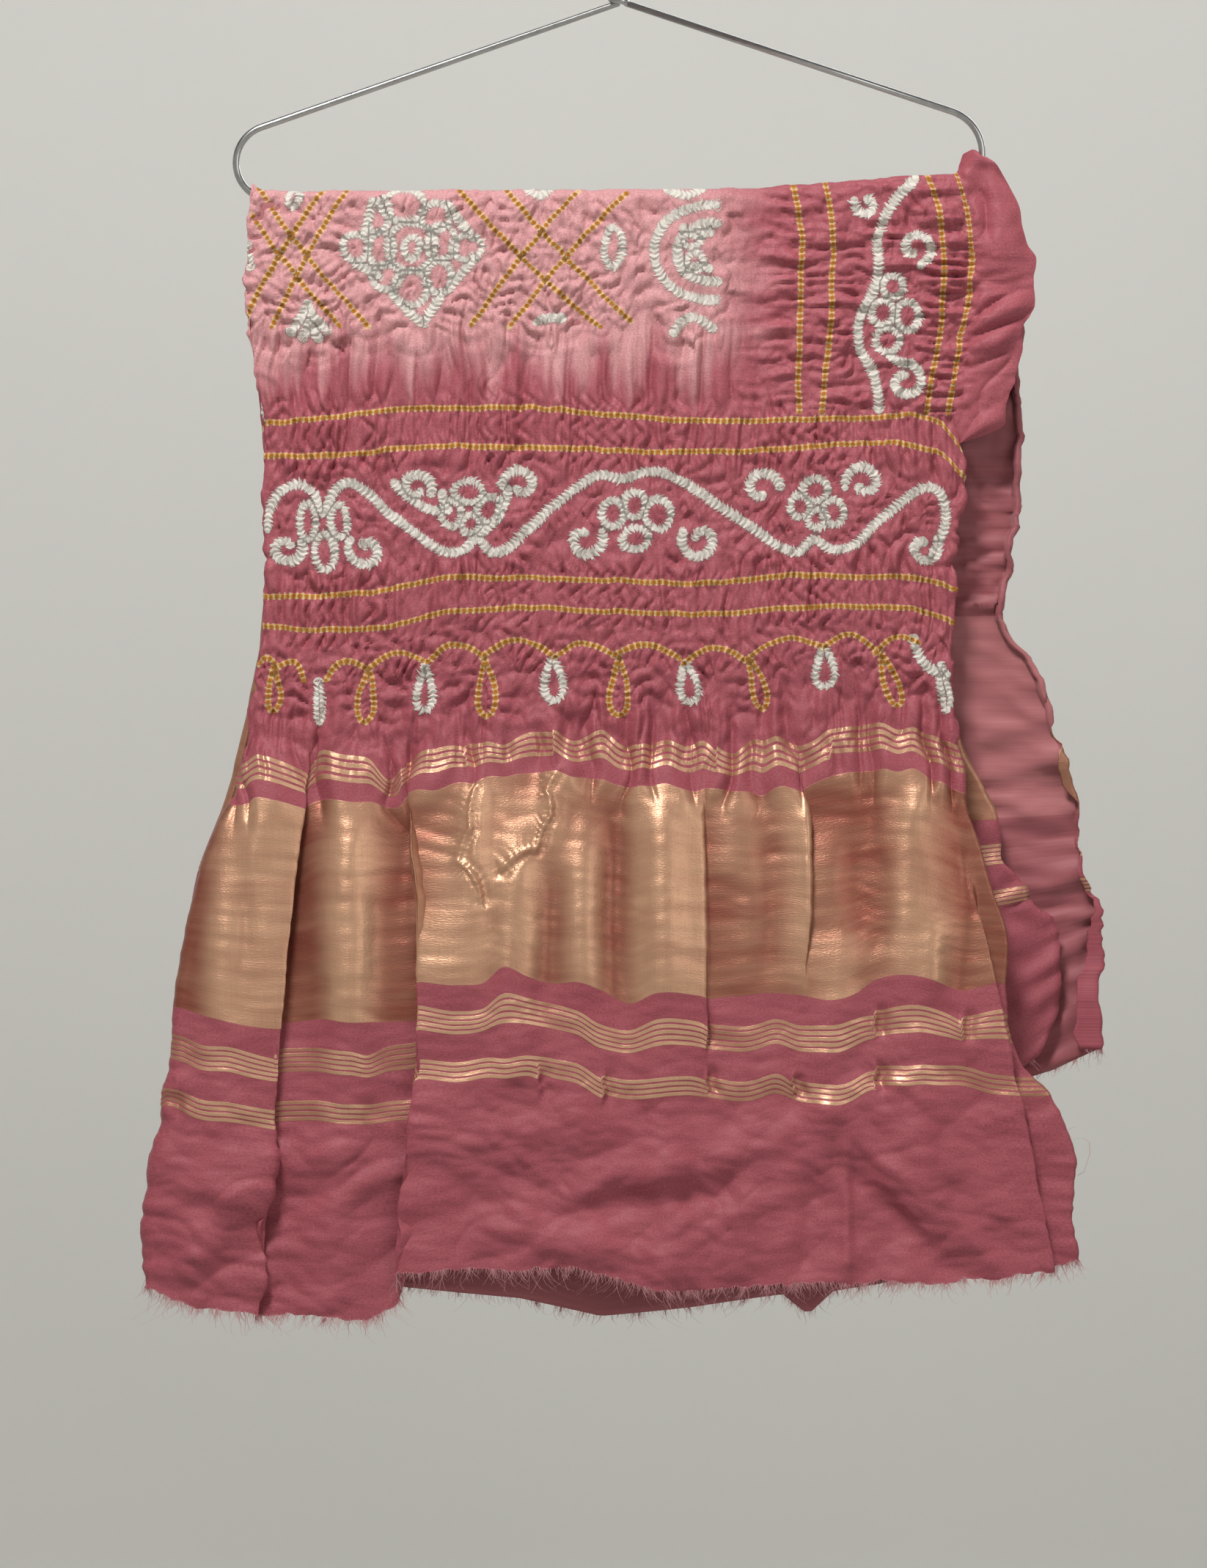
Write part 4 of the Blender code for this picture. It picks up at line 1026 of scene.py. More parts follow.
def gold_mask(tree, flat):
    """1 on the woven gold: the broad band, and the lines of each group of stripes."""
    smooth = {"interpolation_type": "SMOOTHSTEP"}
    begun = add(tree, "MapRange", flat, GOLD_START - 0.3, GOLD_START + 0.3, **smooth)
    going = add(tree, "MapRange", flat, GOLD_END + 0.3, GOLD_END - 0.3, **smooth)
    band = add(tree, "Math", begun, going, operation="MULTIPLY")
    total = band
    for group in STRIPES:
        u = weighted(tree, -group.start / group.pitch, (flat, 1 / group.pitch))
        wave = add(tree, "Math", u, 0.5, operation="PINGPONG")
        edge = 0.5 * (1 - group.share)
        line = add(tree, "MapRange", wave, edge - 0.05, edge + 0.05, **smooth)
        begun = add(tree, "Math", u, 0.0, operation="GREATER_THAN")
        going = add(tree, "Math", u, float(group.count), operation="LESS_THAN")
        inside = add(tree, "Math", begun, going, operation="MULTIPLY")
        line = add(tree, "Math", line, inside, operation="MULTIPLY")
        total = add(tree, "Math", total, line, operation="MAXIMUM")
    return total, band


def face_material(settings):
    """Silk satin, piece-dyed rose and tied and dyed in stages, woven with gold zari bands. Its long warp
    floats give a soft sheen, and the zari's flat metal strips a brighter, streaked one."""
    material, tree, shader = new_material("rose silk satin with gold zari")
    smooth = {"interpolation_type": "SMOOTHSTEP"}
    place = add(tree, "UVMap", uv_map="cloth")
    flat, dye, crest, white_far, white_run, yellow_far, yellow_run = [
        add(tree, "Attribute", out="Fac", attribute_name=name)
        for name in ("flat", "dye", "crest", "white_far", "white_run", "yellow_far", "yellow_run")]
    gold, band = gold_mask(tree, flat)
    warp, weft, slub, patch, grain, twill = [
        streaks(tree, place, name) for name in ("warp", "weft", "slub", "patch", "grain", "twill")]
    # The ground: rose in clouds, deeper near the drops, and pale pink where it was tied off from the dye
    cloud = add(tree, "TexNoise", place, 38.0, 3.0)
    late = add(tree, "MapRange", flat, 225.0, 290.0, **smooth)
    dyed = weighted(tree, cloud, (late, -0.3))
    rose = add(tree, "Mix", dyed, (*settings.rose_deep, 1), (*settings.rose, 1), data_type="RGBA")
    worn = weighted(tree, 0.0, (weft, 0.3))
    rose = add(tree, "Mix", worn, rose, (*settings.rose_light, 1), data_type="RGBA")
    pale = add(tree, "Mix", cloud, (*settings.pale, 1), (*settings.pale_light, 1), data_type="RGBA")
    ground = add(tree, "Mix", dye, rose, pale, data_type="RGBA")
    shade = add(tree, "MapRange", grain, 0.3, 0.7, 0.8, 1.16)
    ground = add(tree, "VectorMath", ground, operation="SCALE", Scale=shade)
    # The zari: painted highlight, lighter gold on the crests of the folds, and painted shade, rosier and
    # darker in their valleys, with rose warp showing where it is worn
    crest = add(tree, "MapRange", crest, -3.5, 5.0, **smooth)
    bare = add(tree, "MapRange", patch, 0.42, 0.6, **smooth)
    painted_highlight_and_wear = weighted(tree, 0.35, (slub, 0.3), (crest, 0.75), (bare, -0.12), (band, -0.35))
    zari = add(tree, "Mix", painted_highlight_and_wear, (*settings.gold_rose_and_shade, 1), (*settings.gold, 1), data_type="RGBA")
    dark = weighted(tree, 0.0, (warp, 0.3))
    zari = add(tree, "Mix", dark, zari, (*settings.gold_deep, 1), data_type="RGBA")
    base = add(tree, "Mix", gold, ground, zari, data_type="RGBA")
    # White lines: cloth pleated tight under the thread, with crimps and spiky edges, and painted shade on
    # the facets of its tufts
    fuzz = weighted(tree, -0.5, (add(tree, "TexNoise", place, 1100.0, 2.0), 1.0))
    slant = weighted(tree, white_run, (white_far, 0.45))
    across = add(tree, "CombineXYZ", slant, weighted(tree, 0.0, (white_far, 0.12)))
    spike = weighted(tree, -0.5, (add(tree, "TexNoise", across, 0.9, 1.0), 1.0))
    facet = add(tree, "TexNoise", across, 0.38, 1.0)
    crimp = add(tree, "Math", weighted(tree, 0.0, (slant, 1 / CRIMP_PITCH)), 0.5, operation="PINGPONG")
    edge = weighted(tree, 0.325, (white_far, 1.0), (crimp, -1.3), (spike, 6.0), (fuzz, 2.4))
    white = add(tree, "MapRange", edge, 0.6, -0.3, **smooth)
    # Painted shade: darker grey facets along the tufts of each white line
    shadow = add(tree, "MapRange", facet, 0.52, 0.38, 0.0, 0.7, **smooth)
    chalk = add(tree, "Mix", shadow, (*settings.white, 1), (*settings.white_painted_shade, 1), data_type="RGBA")
    caught = add(tree, "MapRange", crimp, 0.12, 0.02, 0.0, 0.35, **smooth)
    chalk = add(tree, "Mix", caught, chalk, (*settings.pale, 1), data_type="RGBA")
    base = add(tree, "Mix", white, base, chalk, data_type="RGBA")
    # Yellow dots: each about 2.6 mm across with a brown heart and a pale pointed rim
    beat = add(tree, "Math", weighted(tree, 0.0, (yellow_run, 1 / KNOT_PITCH)), 0.5, operation="PINGPONG")
    step = weighted(tree, 0.5 * KNOT_PITCH, (beat, -KNOT_PITCH))
    squared = weighted(tree, 0.0, (yellow_far, yellow_far), (step, step))
    knot = weighted(tree, add(tree, "Math", squared, operation="SQRT"), (fuzz, 1.0))
    pointed = weighted(tree, yellow_far, (step, -0.5), (fuzz, 2.6))
    rim = add(tree, "MapRange", pointed, 1.35, 0.75, **smooth)
    dot = add(tree, "MapRange", knot, 1.55, 1.2, **smooth)
    heart = add(tree, "MapRange", knot, 1.35, 0.7, 0.0, 0.85, **smooth)
    ring = weighted(tree, 0.0, (rim, 0.8))
    base = add(tree, "Mix", ring, base, (*settings.rim, 1), data_type="RGBA")
    base = add(tree, "Mix", dot, base, (*settings.yellow, 1), data_type="RGBA")
    base = add(tree, "Mix", heart, base, (*settings.yellow_deep, 1), data_type="RGBA")
    tree.links.new(base, shader.inputs["Base Color"])
    tied = add(tree, "Math", white, rim, operation="MAXIMUM")
    tree.links.new(weighted(tree, 0.0, (gold, 0.55)), shader.inputs["Metallic"])
    tree.links.new(weighted(tree, 0.6, (gold, -0.19), (tied, 0.25)), shader.inputs["Roughness"])
    shader.inputs["Anisotropic"].default_value = 0.4
    shader.inputs["Anisotropic Rotation"].default_value = 0.25
    shader.inputs["Sheen Weight"].default_value = 0.05
    shader.inputs["Specular IOR Level"].default_value = 0.3
    shader.inputs["Sheen Roughness"].default_value = 0.4
    tangent = add(tree, "Tangent", direction_type="UV_MAP", uv_map="cloth")
    tree.links.new(tangent, shader.inputs["Tangent"])
    # Heights in millimetres: threads, crimps of the white lines and knots of the yellow ones
    ribbed = weighted(tree, 0.0, (twill, gold))
    tuft = add(tree, "TexNoise", place, 1500.0, 2.0)
    tied_height = weighted(tree, 0.0, (crimp, 1.3), (tuft, 0.5))
    lift = weighted(tree, 0.0, (warp, 0.06), (weft, 0.1), (ribbed, 0.2), (tied_height, white), (dot, 0.6))
    bump = add(tree, "Bump", Height=lift, Distance=MM, Strength=0.8)
    tree.links.new(bump, shader.inputs["Normal"])
    return material


def wrong_side_material(settings):
    """The back of the satin: its duller side, where the weft lies on top in broken streaks."""
    material, tree, shader = new_material("rose silk, wrong side")
    place = add(tree, "UVMap", uv_map="cloth")
    flat, dye = [add(tree, "Attribute", out="Fac", attribute_name=name) for name in ("flat", "dye")]
    streak, thread = [streaks(tree, place, name) for name in ("wrong side", "wrong weft")]
    base = add(tree, "Mix", streak, (*settings.wrong_deep, 1), (*settings.wrong, 1), data_type="RGBA")
    pale = weighted(tree, 0.0, (dye, 0.6))
    base = add(tree, "Mix", pale, base, (*settings.pale, 1), data_type="RGBA")
    gold, band = gold_mask(tree, flat)
    dull = add(tree, "Mix", streak, (*settings.wrong, 1), (*settings.wrong_light, 1), data_type="RGBA")
    shows = weighted(tree, 0.0, (gold, weighted(tree, 0.15, (band, 0.55))))
    base = add(tree, "Mix", shows, base, dull, data_type="RGBA")
    tree.links.new(base, shader.inputs["Base Color"])
    shader.inputs["Roughness"].default_value = 0.62
    shader.inputs["Sheen Weight"].default_value = 0.15
    bump = add(tree, "Bump", Height=thread, Distance=0.12 * MM, Strength=0.8)
    tree.links.new(bump, shader.inputs["Normal"])
    return material


def thread_material(settings):
    """Loose silk filaments of the raw edge, paler than the cloth because light passes between them."""
    material, tree, shader = new_material("loose silk threads")
    spots = add(tree, "TexNoise", add(tree, "TexCoord", out="Object"), 300.0, 2.0)
    tint = add(tree, "Mix", spots, (*settings.rose_light, 1), (*settings.pale_light, 1), data_type="RGBA")
    tree.links.new(tint, shader.inputs["Base Color"])
    shader.inputs["Roughness"].default_value = 0.5
    shader.inputs["Sheen Weight"].default_value = 0.2
    return material


def steel_material(settings):
    """Bright drawn steel wire: a smooth mirror-like skin, with faint spots where it is duller."""
    material, tree, shader = new_material("bright drawn steel")
    spots = add(tree, "TexNoise", add(tree, "TexCoord", out="Object"), 260.0, 3.0)
    tint = add(tree, "Mix", spots, (*settings.steel_dark, 1), (*settings.steel, 1), data_type="RGBA")
    tree.links.new(tint, shader.inputs["Base Color"])
    shader.inputs["Metallic"].default_value = 1.0
    tree.links.new(weighted(tree, 0.24, (spots, 0.12)), shader.inputs["Roughness"])
    bump = add(tree, "Bump", Height=spots, Distance=0.05 * MM, Strength=0.3)
    tree.links.new(bump, shader.inputs["Normal"])
    return material


def declare(piece, node):
    """Rides on the root, and stands in for the plain solid of its node."""
    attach(piece, "root")
    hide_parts(node)


# A sheet that ends in a raw hem: its piece, its area in square metres and the points along the hem
Hung = namedtuple("Hung", "piece area hem")
HEMS = {}


def mesh_area(grid):
    across = np.diff(grid, axis=1)[:-1]
    down = np.diff(grid, axis=0)[:, :-1]
    return float(np.linalg.norm(np.cross(across, down), axis=-1).sum()) * MM * MM


def front_surface():
    """The whole front: its points, its attributes and its normals. Columns run from the margin's edge
    over the outer layer to the left fold, and rows from just behind the crown down to the hem."""
    behind, fall = crown_rows()
    layers = [(margin, np.linspace(1, 0, MARGIN_COLUMNS + 1)[:-1]),
              (outer_layer, crowded_shares(FRONT_COLUMNS)),
              (left_turn, np.linspace(0, 1, TURN_COLUMNS + 1)[1:])]
    grids, places, drops, margins = [], [], [], []
    for layer, shares in layers:
        parts = []
        for rows, front in ((behind, False), (fall, True)):
            share, drop = np.meshgrid(shares, rows)
            parts.append(layer(share, drop, front))
        grids.append(np.concatenate(parts))
        share, drop = np.meshgrid(shares, np.concatenate([-behind, fall]))
        drops.append(drop)
        front_drop = np.clip(drop, 0, None)
        if layer is margin:
            places.append(place_across(np.ones_like(share), front_drop, True) + share * MARGIN_WIDTH * 0.95)
            margins.append(share)
        else:
            own = share if layer is outer_layer else np.zeros_like(share)
            place = place_across(own, front_drop, True)
            places.append(place - (share * 9.0 if layer is left_turn else 0.0))
            margins.append(np.zeros_like(share))
    grid = np.concatenate(grids, 1)
    x, drop, margin_share = np.concatenate(places, 1), np.concatenate(drops, 1), np.concatenate(margins, 1)
    crown_row = len(behind)
    seen = -grid[..., 2] - PATTERN_TOP
    seen[:crown_row] = 2 * seen[crown_row] - seen[:crown_row]
    return grid, x, drop, seen, margin_share


def build_front(settings):
    """The front in three sheets that share their border rows."""
    grid, x, drop, seen, margin_share = front_surface()
    x_tied = x + 0.7 * noise(x / 9, seen / 9, 91)
    seen_tied = seen + 0.7 * noise(x / 8, seen / 8, 92)
    white = distances(white_shapes(), x_tied, seen_tied, SHAPE_REACH)
    yellow = tied_lines(x_tied, seen_tied, *distances(yellow_shapes(), x_tied, seen_tied, SHAPE_REACH))
    flat = flat_place(x, seen)
    upper = ramp(flat, 285, 300) * (1 - ramp(flat, 330, 350))
    lower = ramp(flat, 430, 450)
    flat = flat + 2.2 * upper * noise(x / 9, drop / 60, 93) + 1.0 * lower * noise(x / 12, drop / 60, 94)
    flat = flat + tucks(x, seen)[1]
    dye = light_dye(x, seen)
    shallow = ramp(np.abs(drop), 0, 7) * 0.75 + 0.25
    shallow = np.where(drop < 0, shallow * (1 - ramp(-drop, 4, BEHIND_CROWN - 0.5)), shallow)
    height = front_relief(x, seen, flat, white, yellow, margin_share) * shallow
    grid = grid + normals_of(grid) * height[..., None]
    normals = normals_of(grid)
    stand = -grid[..., 1]
    # How far each place stands out past the layer's level stand: the zari's colour uses it for painted
    # highlight on the crests and painted shade in the valleys
    crest = stand - read(FRONT_LEVELS, "stand", np.clip(drop, 0, None))
    fields = {"flat": flat, "dye": dye, "white_far": white[0], "white_run": white[1],
              "yellow_far": yellow[0], "yellow_run": yellow[1], "crest": crest}
    material = face_material(settings)
    rows = drop[:, 0]
    cuts = [0, *(int(row) for row in np.searchsorted(rows, (TOP_SHEET_END, BAND_SHEET_END))), len(rows) - 1]
    hem_rows = ramp(drop, FRONT_FALL - 9, FRONT_FALL)
    ragged = 1.6 * noise(x / 16, 0 * x, 95) + 0.9 * noise(x / 4.2, 0 * x, 96) + 0.5 * noise(x / 1.7, 0 * x,
                                                                                            97)
    grid[..., 2] += hem_rows * ragged
    for name, start, end in zip(("front top", "front bands", "front skirt"), cuts, cuts[1:]):
        part = slice(start, end + 1)
        own = {key: values[part] for key, values in fields.items()}
        piece = cloth_mesh(name.replace(" ", "_"), grid[part], own, x[part], flat[part], normals[part])
        piece.data.materials.append(material)
        declare(piece, "bandhani_cloth")
        area = mesh_area(grid[part])
        if name == "front skirt":
            HEMS["front"] = Hung(piece, area, grid[-1])


def thread_mesh(name, roots, tips, bends, radius, settings):
    """Fine threads as one mesh: each is a three-sided tube along the curve from its root over its bend
    to its tip, and thins towards the tip."""
    t = np.linspace(0, 1, 6)[None, :, None]
    line = (1 - t) ** 2 * roots[:, None] + 2 * t * (1 - t) * bends[:, None] + t * t * tips[:, None]
    angle = 2 * math.pi * np.arange(3) / 3
    ring = np.stack([np.cos(angle), np.sin(angle), 0 * angle], -1)
    thin = (1 - 0.6 * t)[..., None] * radius
    verts = line[:, :, None] + ring[None, None] * thin
    count, steps = verts.shape[0], verts.shape[1]
    corner = np.arange(count * steps * 3).reshape(count, steps, 3)
    turned = np.roll(corner, -1, 2)
    faces = np.stack([corner[:, :-1], turned[:, :-1], turned[:, 1:], corner[:, 1:]], -1).reshape(-1, 4)
    mesh = bpy.data.meshes.new(name)
    mesh.from_pydata((verts.reshape(-1, 3) * MM).tolist(), [], faces.tolist())
    mesh.shade_smooth()
    mesh.materials.append(bpy.data.materials.get("loose silk threads") or thread_material(settings))
    piece = bpy.data.objects.new(name, mesh)
    bpy.context.scene.collection.objects.link(piece)
    return piece


def build_loose_threads(settings):
    """The few long threads that have worked loose at the right edge and curl there."""
    places = [np.array([(getattr(t, a), -t.front, -getattr(t, b) - PATTERN_TOP) for t in LOOSE_THREADS])
              for a, b in (("x", "drop"), ("end_x", "end_drop"), ("bend_x", "bend_drop"))]
    piece = thread_mesh("loose_threads", *places, 0.28, settings)
    declare(piece, "bandhani_cloth")
    return piece


# The frays: the hem each hangs from, the size that sets its length and by what share, and its threads
Fray = namedtuple("Fray", "name hem size share count seed")
FRAYS = [Fray(*row) for row in (
    ("front_fray", "front", "front_fray", 1.0, 2200, 201), ("inner_front_fray", "inner", "inner_fray", 1.0,
                                                            700, 202),
    ("inner_back_fray", "inner back", "inner_fray", 0.8, 500, 203), ("back_fray", "back", "back_fray", 1.0,
                                                                     900, 204),
)]


def build_fray(fray, hem, settings):
    """A raw hem's fray: threads that hang from places along it, most of them short."""
    length, count = fray.share * getattr(settings, fray.size) / MM, fray.count
    rng = np.random.default_rng(fray.seed)
    run = np.concatenate([[0], np.cumsum(np.linalg.norm(np.diff(hem, axis=0), axis=1))])
    at = rng.uniform(0, run[-1], count)
    at = at + 2.5 * np.sin(at / 3.1 + 2 * np.sin(at / 9.0))
    at = np.clip(at, 0, run[-1])
    roots = np.stack([np.interp(at, run, hem[:, i]) for i in range(3)], -1)
    size = 1.6 + rng.exponential(length * 0.4, count)
    size = np.clip(size, 1.2, 2.0 * length)
    lean = rng.normal(0, 0.55, count) + 0.5 * np.sin(at / 14.0)
    out = rng.normal(-0.05, 0.3, count)
    tips = roots + size[:, None] * np.stack([lean, out, -np.ones(count)], -1)
    bend = np.stack([0.2 * lean + rng.normal(0, 0.25, count), 0.3 * out, -0.55 * np.ones(count)], -1)
    bends = roots + size[:, None] * bend
    roots = roots + np.array([0, 0, 0.8])
    piece = thread_mesh(fray.name, roots, tips, bends, 0.16, settings)
    declare(piece, "bandhani_cloth")
    return piece


class BANDHANI_OT_Fray(bpy.types.Operator):
    bl_idname = "bandhani.fray"
    bl_label = "Frayed hems"

    def execute(self, context):
        settings = context.scene.bandhani
        missing = {fray.hem for fray in FRAYS} - set(HEMS)
        if missing:
            raise RuntimeError(f"These hems aren't built yet: {', '.join(sorted(missing))}")
        loose = build_loose_threads(settings)
        front, inner, behind, back = [build_fray(fray, HEMS[fray.hem].hem, settings) for fray in FRAYS]
        return {"FINISHED"}


class BANDHANI_PG_Cloth(bpy.types.PropertyGroup):
    """Sizes and colours that a user would change."""

    wire_diameter: bpy.props.FloatProperty(
        name="Wire diameter", description="Thickness of the hanger's steel wire", unit="LENGTH",
        precision=4, default=WIRE_DIAMETER * MM, min=0.001, max=0.008)
    front_fray: bpy.props.FloatProperty(
        name="Front fray", description="Length of the front hem's longer loose threads", unit="LENGTH",
        precision=4, default=0.0065, min=0.001, max=0.02)
    inner_fray: bpy.props.FloatProperty(
        name="Inner fray", description="Length of the inner layer's loose threads", unit="LENGTH",
        precision=4, default=0.005, min=0.001, max=0.02)
    back_fray: bpy.props.FloatProperty(
        name="Back fray", description="Length of the back hem's loose threads", unit="LENGTH",
        precision=4, default=0.0045, min=0.001, max=0.02)
    layer_thickness: bpy.props.FloatProperty(
        name="Layer thickness", description="Thickness of one layer seen at its raw edge", unit="LENGTH",
        precision=5, default=0.0005, min=0.0002, max=0.0012)

    rose: bpy.props.FloatVectorProperty(
        name="Rose", description="The ground's main colour", subtype="COLOR",
        default=linear("#a75660"))
    rose_deep: bpy.props.FloatVectorProperty(
        name="Deep rose", description="The ground where it took more dye", subtype="COLOR",
        default=linear("#92424d"))
    rose_light: bpy.props.FloatVectorProperty(
        name="Light rose", description="The ground's worn threads", subtype="COLOR",
        default=linear("#b96c74"))
    pale: bpy.props.FloatVectorProperty(
        name="Pale pink", description="The middle field", subtype="COLOR",
        default=linear("#c08386"))
    pale_light: bpy.props.FloatVectorProperty(
        name="Light pink", description="The middle field's lighter part", subtype="COLOR",
        default=linear("#d29c9d"))
    gold: bpy.props.FloatVectorProperty(
        name="Gold", description="The zari", subtype="COLOR",
        default=linear("#d9ad8c"))
    gold_deep: bpy.props.FloatVectorProperty(
        name="Deep gold", description="The zari's darker threads", subtype="COLOR",
        default=linear("#96634c"))
    # Rose warp seen through the zari, and also the painted shade in the valleys of its folds
    gold_rose_and_shade: bpy.props.FloatVectorProperty(
        name="Rose gold", description="Rose warp seen through the zari", subtype="COLOR",
        default=linear("#8e4c40"))
    # The painted shade on the facets of the white lines' tufts
    white_painted_shade: bpy.props.FloatVectorProperty(
        name="White shade", description="The crimps of the white lines", subtype="COLOR",
        default=linear("#b3aca2"))
    white: bpy.props.FloatVectorProperty(
        name="White", description="The tied white lines", subtype="COLOR",
        default=linear("#d8d4ca"))
    rim: bpy.props.FloatVectorProperty(
        name="Rim", description="The pale rims of the yellow dots", subtype="COLOR",
        default=linear("#d9bd8c"))
    yellow: bpy.props.FloatVectorProperty(
        name="Yellow", description="The tied yellow dots", subtype="COLOR",
        default=linear("#c98f35"))
    yellow_deep: bpy.props.FloatVectorProperty(
        name="Deep yellow", description="The dots' hearts", subtype="COLOR",
        default=linear("#8c551c"))
    wrong: bpy.props.FloatVectorProperty(
        name="Wrong side", description="The back of the satin", subtype="COLOR",
        default=linear("#a85f64"))
    wrong_deep: bpy.props.FloatVectorProperty(
        name="Deep wrong side", description="The back's darker streaks", subtype="COLOR",
        default=linear("#8a434b"))
    wrong_light: bpy.props.FloatVectorProperty(
        name="Light wrong side", description="The back of the gold band", subtype="COLOR",
        default=linear("#b87676"))
    steel: bpy.props.FloatVectorProperty(
        name="Steel", description="The hanger's wire", subtype="COLOR",
        default=linear("#c9c9c8"))
    steel_dark: bpy.props.FloatVectorProperty(
        name="Dark steel", description="The wire's duller spots", subtype="COLOR",
        default=linear("#aaaaa9"))


class BANDHANI_OT_Front(bpy.types.Operator):
    """Builds the front of the cloth in three sheets"""

    bl_idname = "bandhani.front"
    bl_label = "Front of the cloth"

    def execute(self, context):
        build_front(context.scene.bandhani)
        return {"FINISHED"}


def layer_grid(parts):
    """Grids of layers that lie side by side: each is a function, its shares, and its rows' drops with
    whether they are in front."""
    grids, shares_out, drops_out = [], [], []
    for layer, shares, rows in parts:
        pieces = []
        for row_drops, front in rows:
            share, drop = np.meshgrid(shares, row_drops)
            pieces.append(layer(share, drop, front))
        grids.append(np.concatenate(pieces))
        all_drops = np.concatenate([d if front else -d for d, front in rows])
        share, drop = np.meshgrid(shares, all_drops)
        shares_out.append(share)
        drops_out.append(drop)
    return grids, shares_out, drops_out


def build_inner(settings, face, wrong):
    """The inner layer from the front hem over the bar to the back hem, with the wrong side outwards."""
    turn = 6.0 * np.linspace(1, 0, 7) ** 1.5
    behind = np.concatenate([np.linspace(BACK_FALL, 6.0, 150)[:-1], turn])
    front = np.concatenate([turn[::-1][1:], np.linspace(6.0, FRONT_FALL, 178)[1:]])
    shares = np.linspace(0, 1, 118)
    grids, share_list, drop_list = layer_grid([(inner_layer, shares, ((behind, False), (front, True)))])
    grid, share, drop = grids[0], share_list[0], drop_list[0]
    x = grid[..., 0]
    seen = np.abs(drop)
    flat = seen + np.where(drop < 0, BACK_PATTERN_SHIFT, 0.0)
    loose = ramp(seen, 300, 380)
    height = 0.6 * (1 - loose) * creased(x / 9, seen / 60,
                                         101) + loose * (0.9 * noise(x / 20, seen / 30, 102))
    free = ramp(x, 110, 150) * loose
    height += free * 2.2 * creased((seen + 0.6 * x) / 17, (x - seen) / 30, 103)
    height += free * 1.2 * creased(seen / 8, x / 20, 104)
    height = height * ramp(seen, 8, 60)
    grid = grid + normals_of(grid) * height[..., None] * 0.8
    ragged = ramp(x, 150, 175) * loose
    wander = 3.0 * noise(seen / 17, 0 * x, 105) + 1.0 * noise(seen / 5, 0 * x, 106)
    grid[..., 0] += ragged * share**8 * wander
    fields = {"flat": flat, "dye": 0.5 * light_dye(x, flat), "white_far": 0 * x + FAR_OFF,
              "white_run": 0 * x,
              "yellow_far": 0 * x + FAR_OFF, "yellow_run": 0 * x}
    piece = cloth_mesh("inner_layer", grid, fields, x, flat)
    piece.data.materials.append(face)
    piece.data.materials.append(wrong)
    thicken = piece.modifiers.new("thickness", "SOLIDIFY")
    thicken.thickness = settings.layer_thickness
    thicken.offset = 0
    thicken.material_offset = 1
    declare(piece, "bandhani_cloth")
    HEMS["inner"] = Hung(piece, mesh_area(grid), grid[-1])
    HEMS["inner back"] = Hung(piece, mesh_area(grid), grid[0])


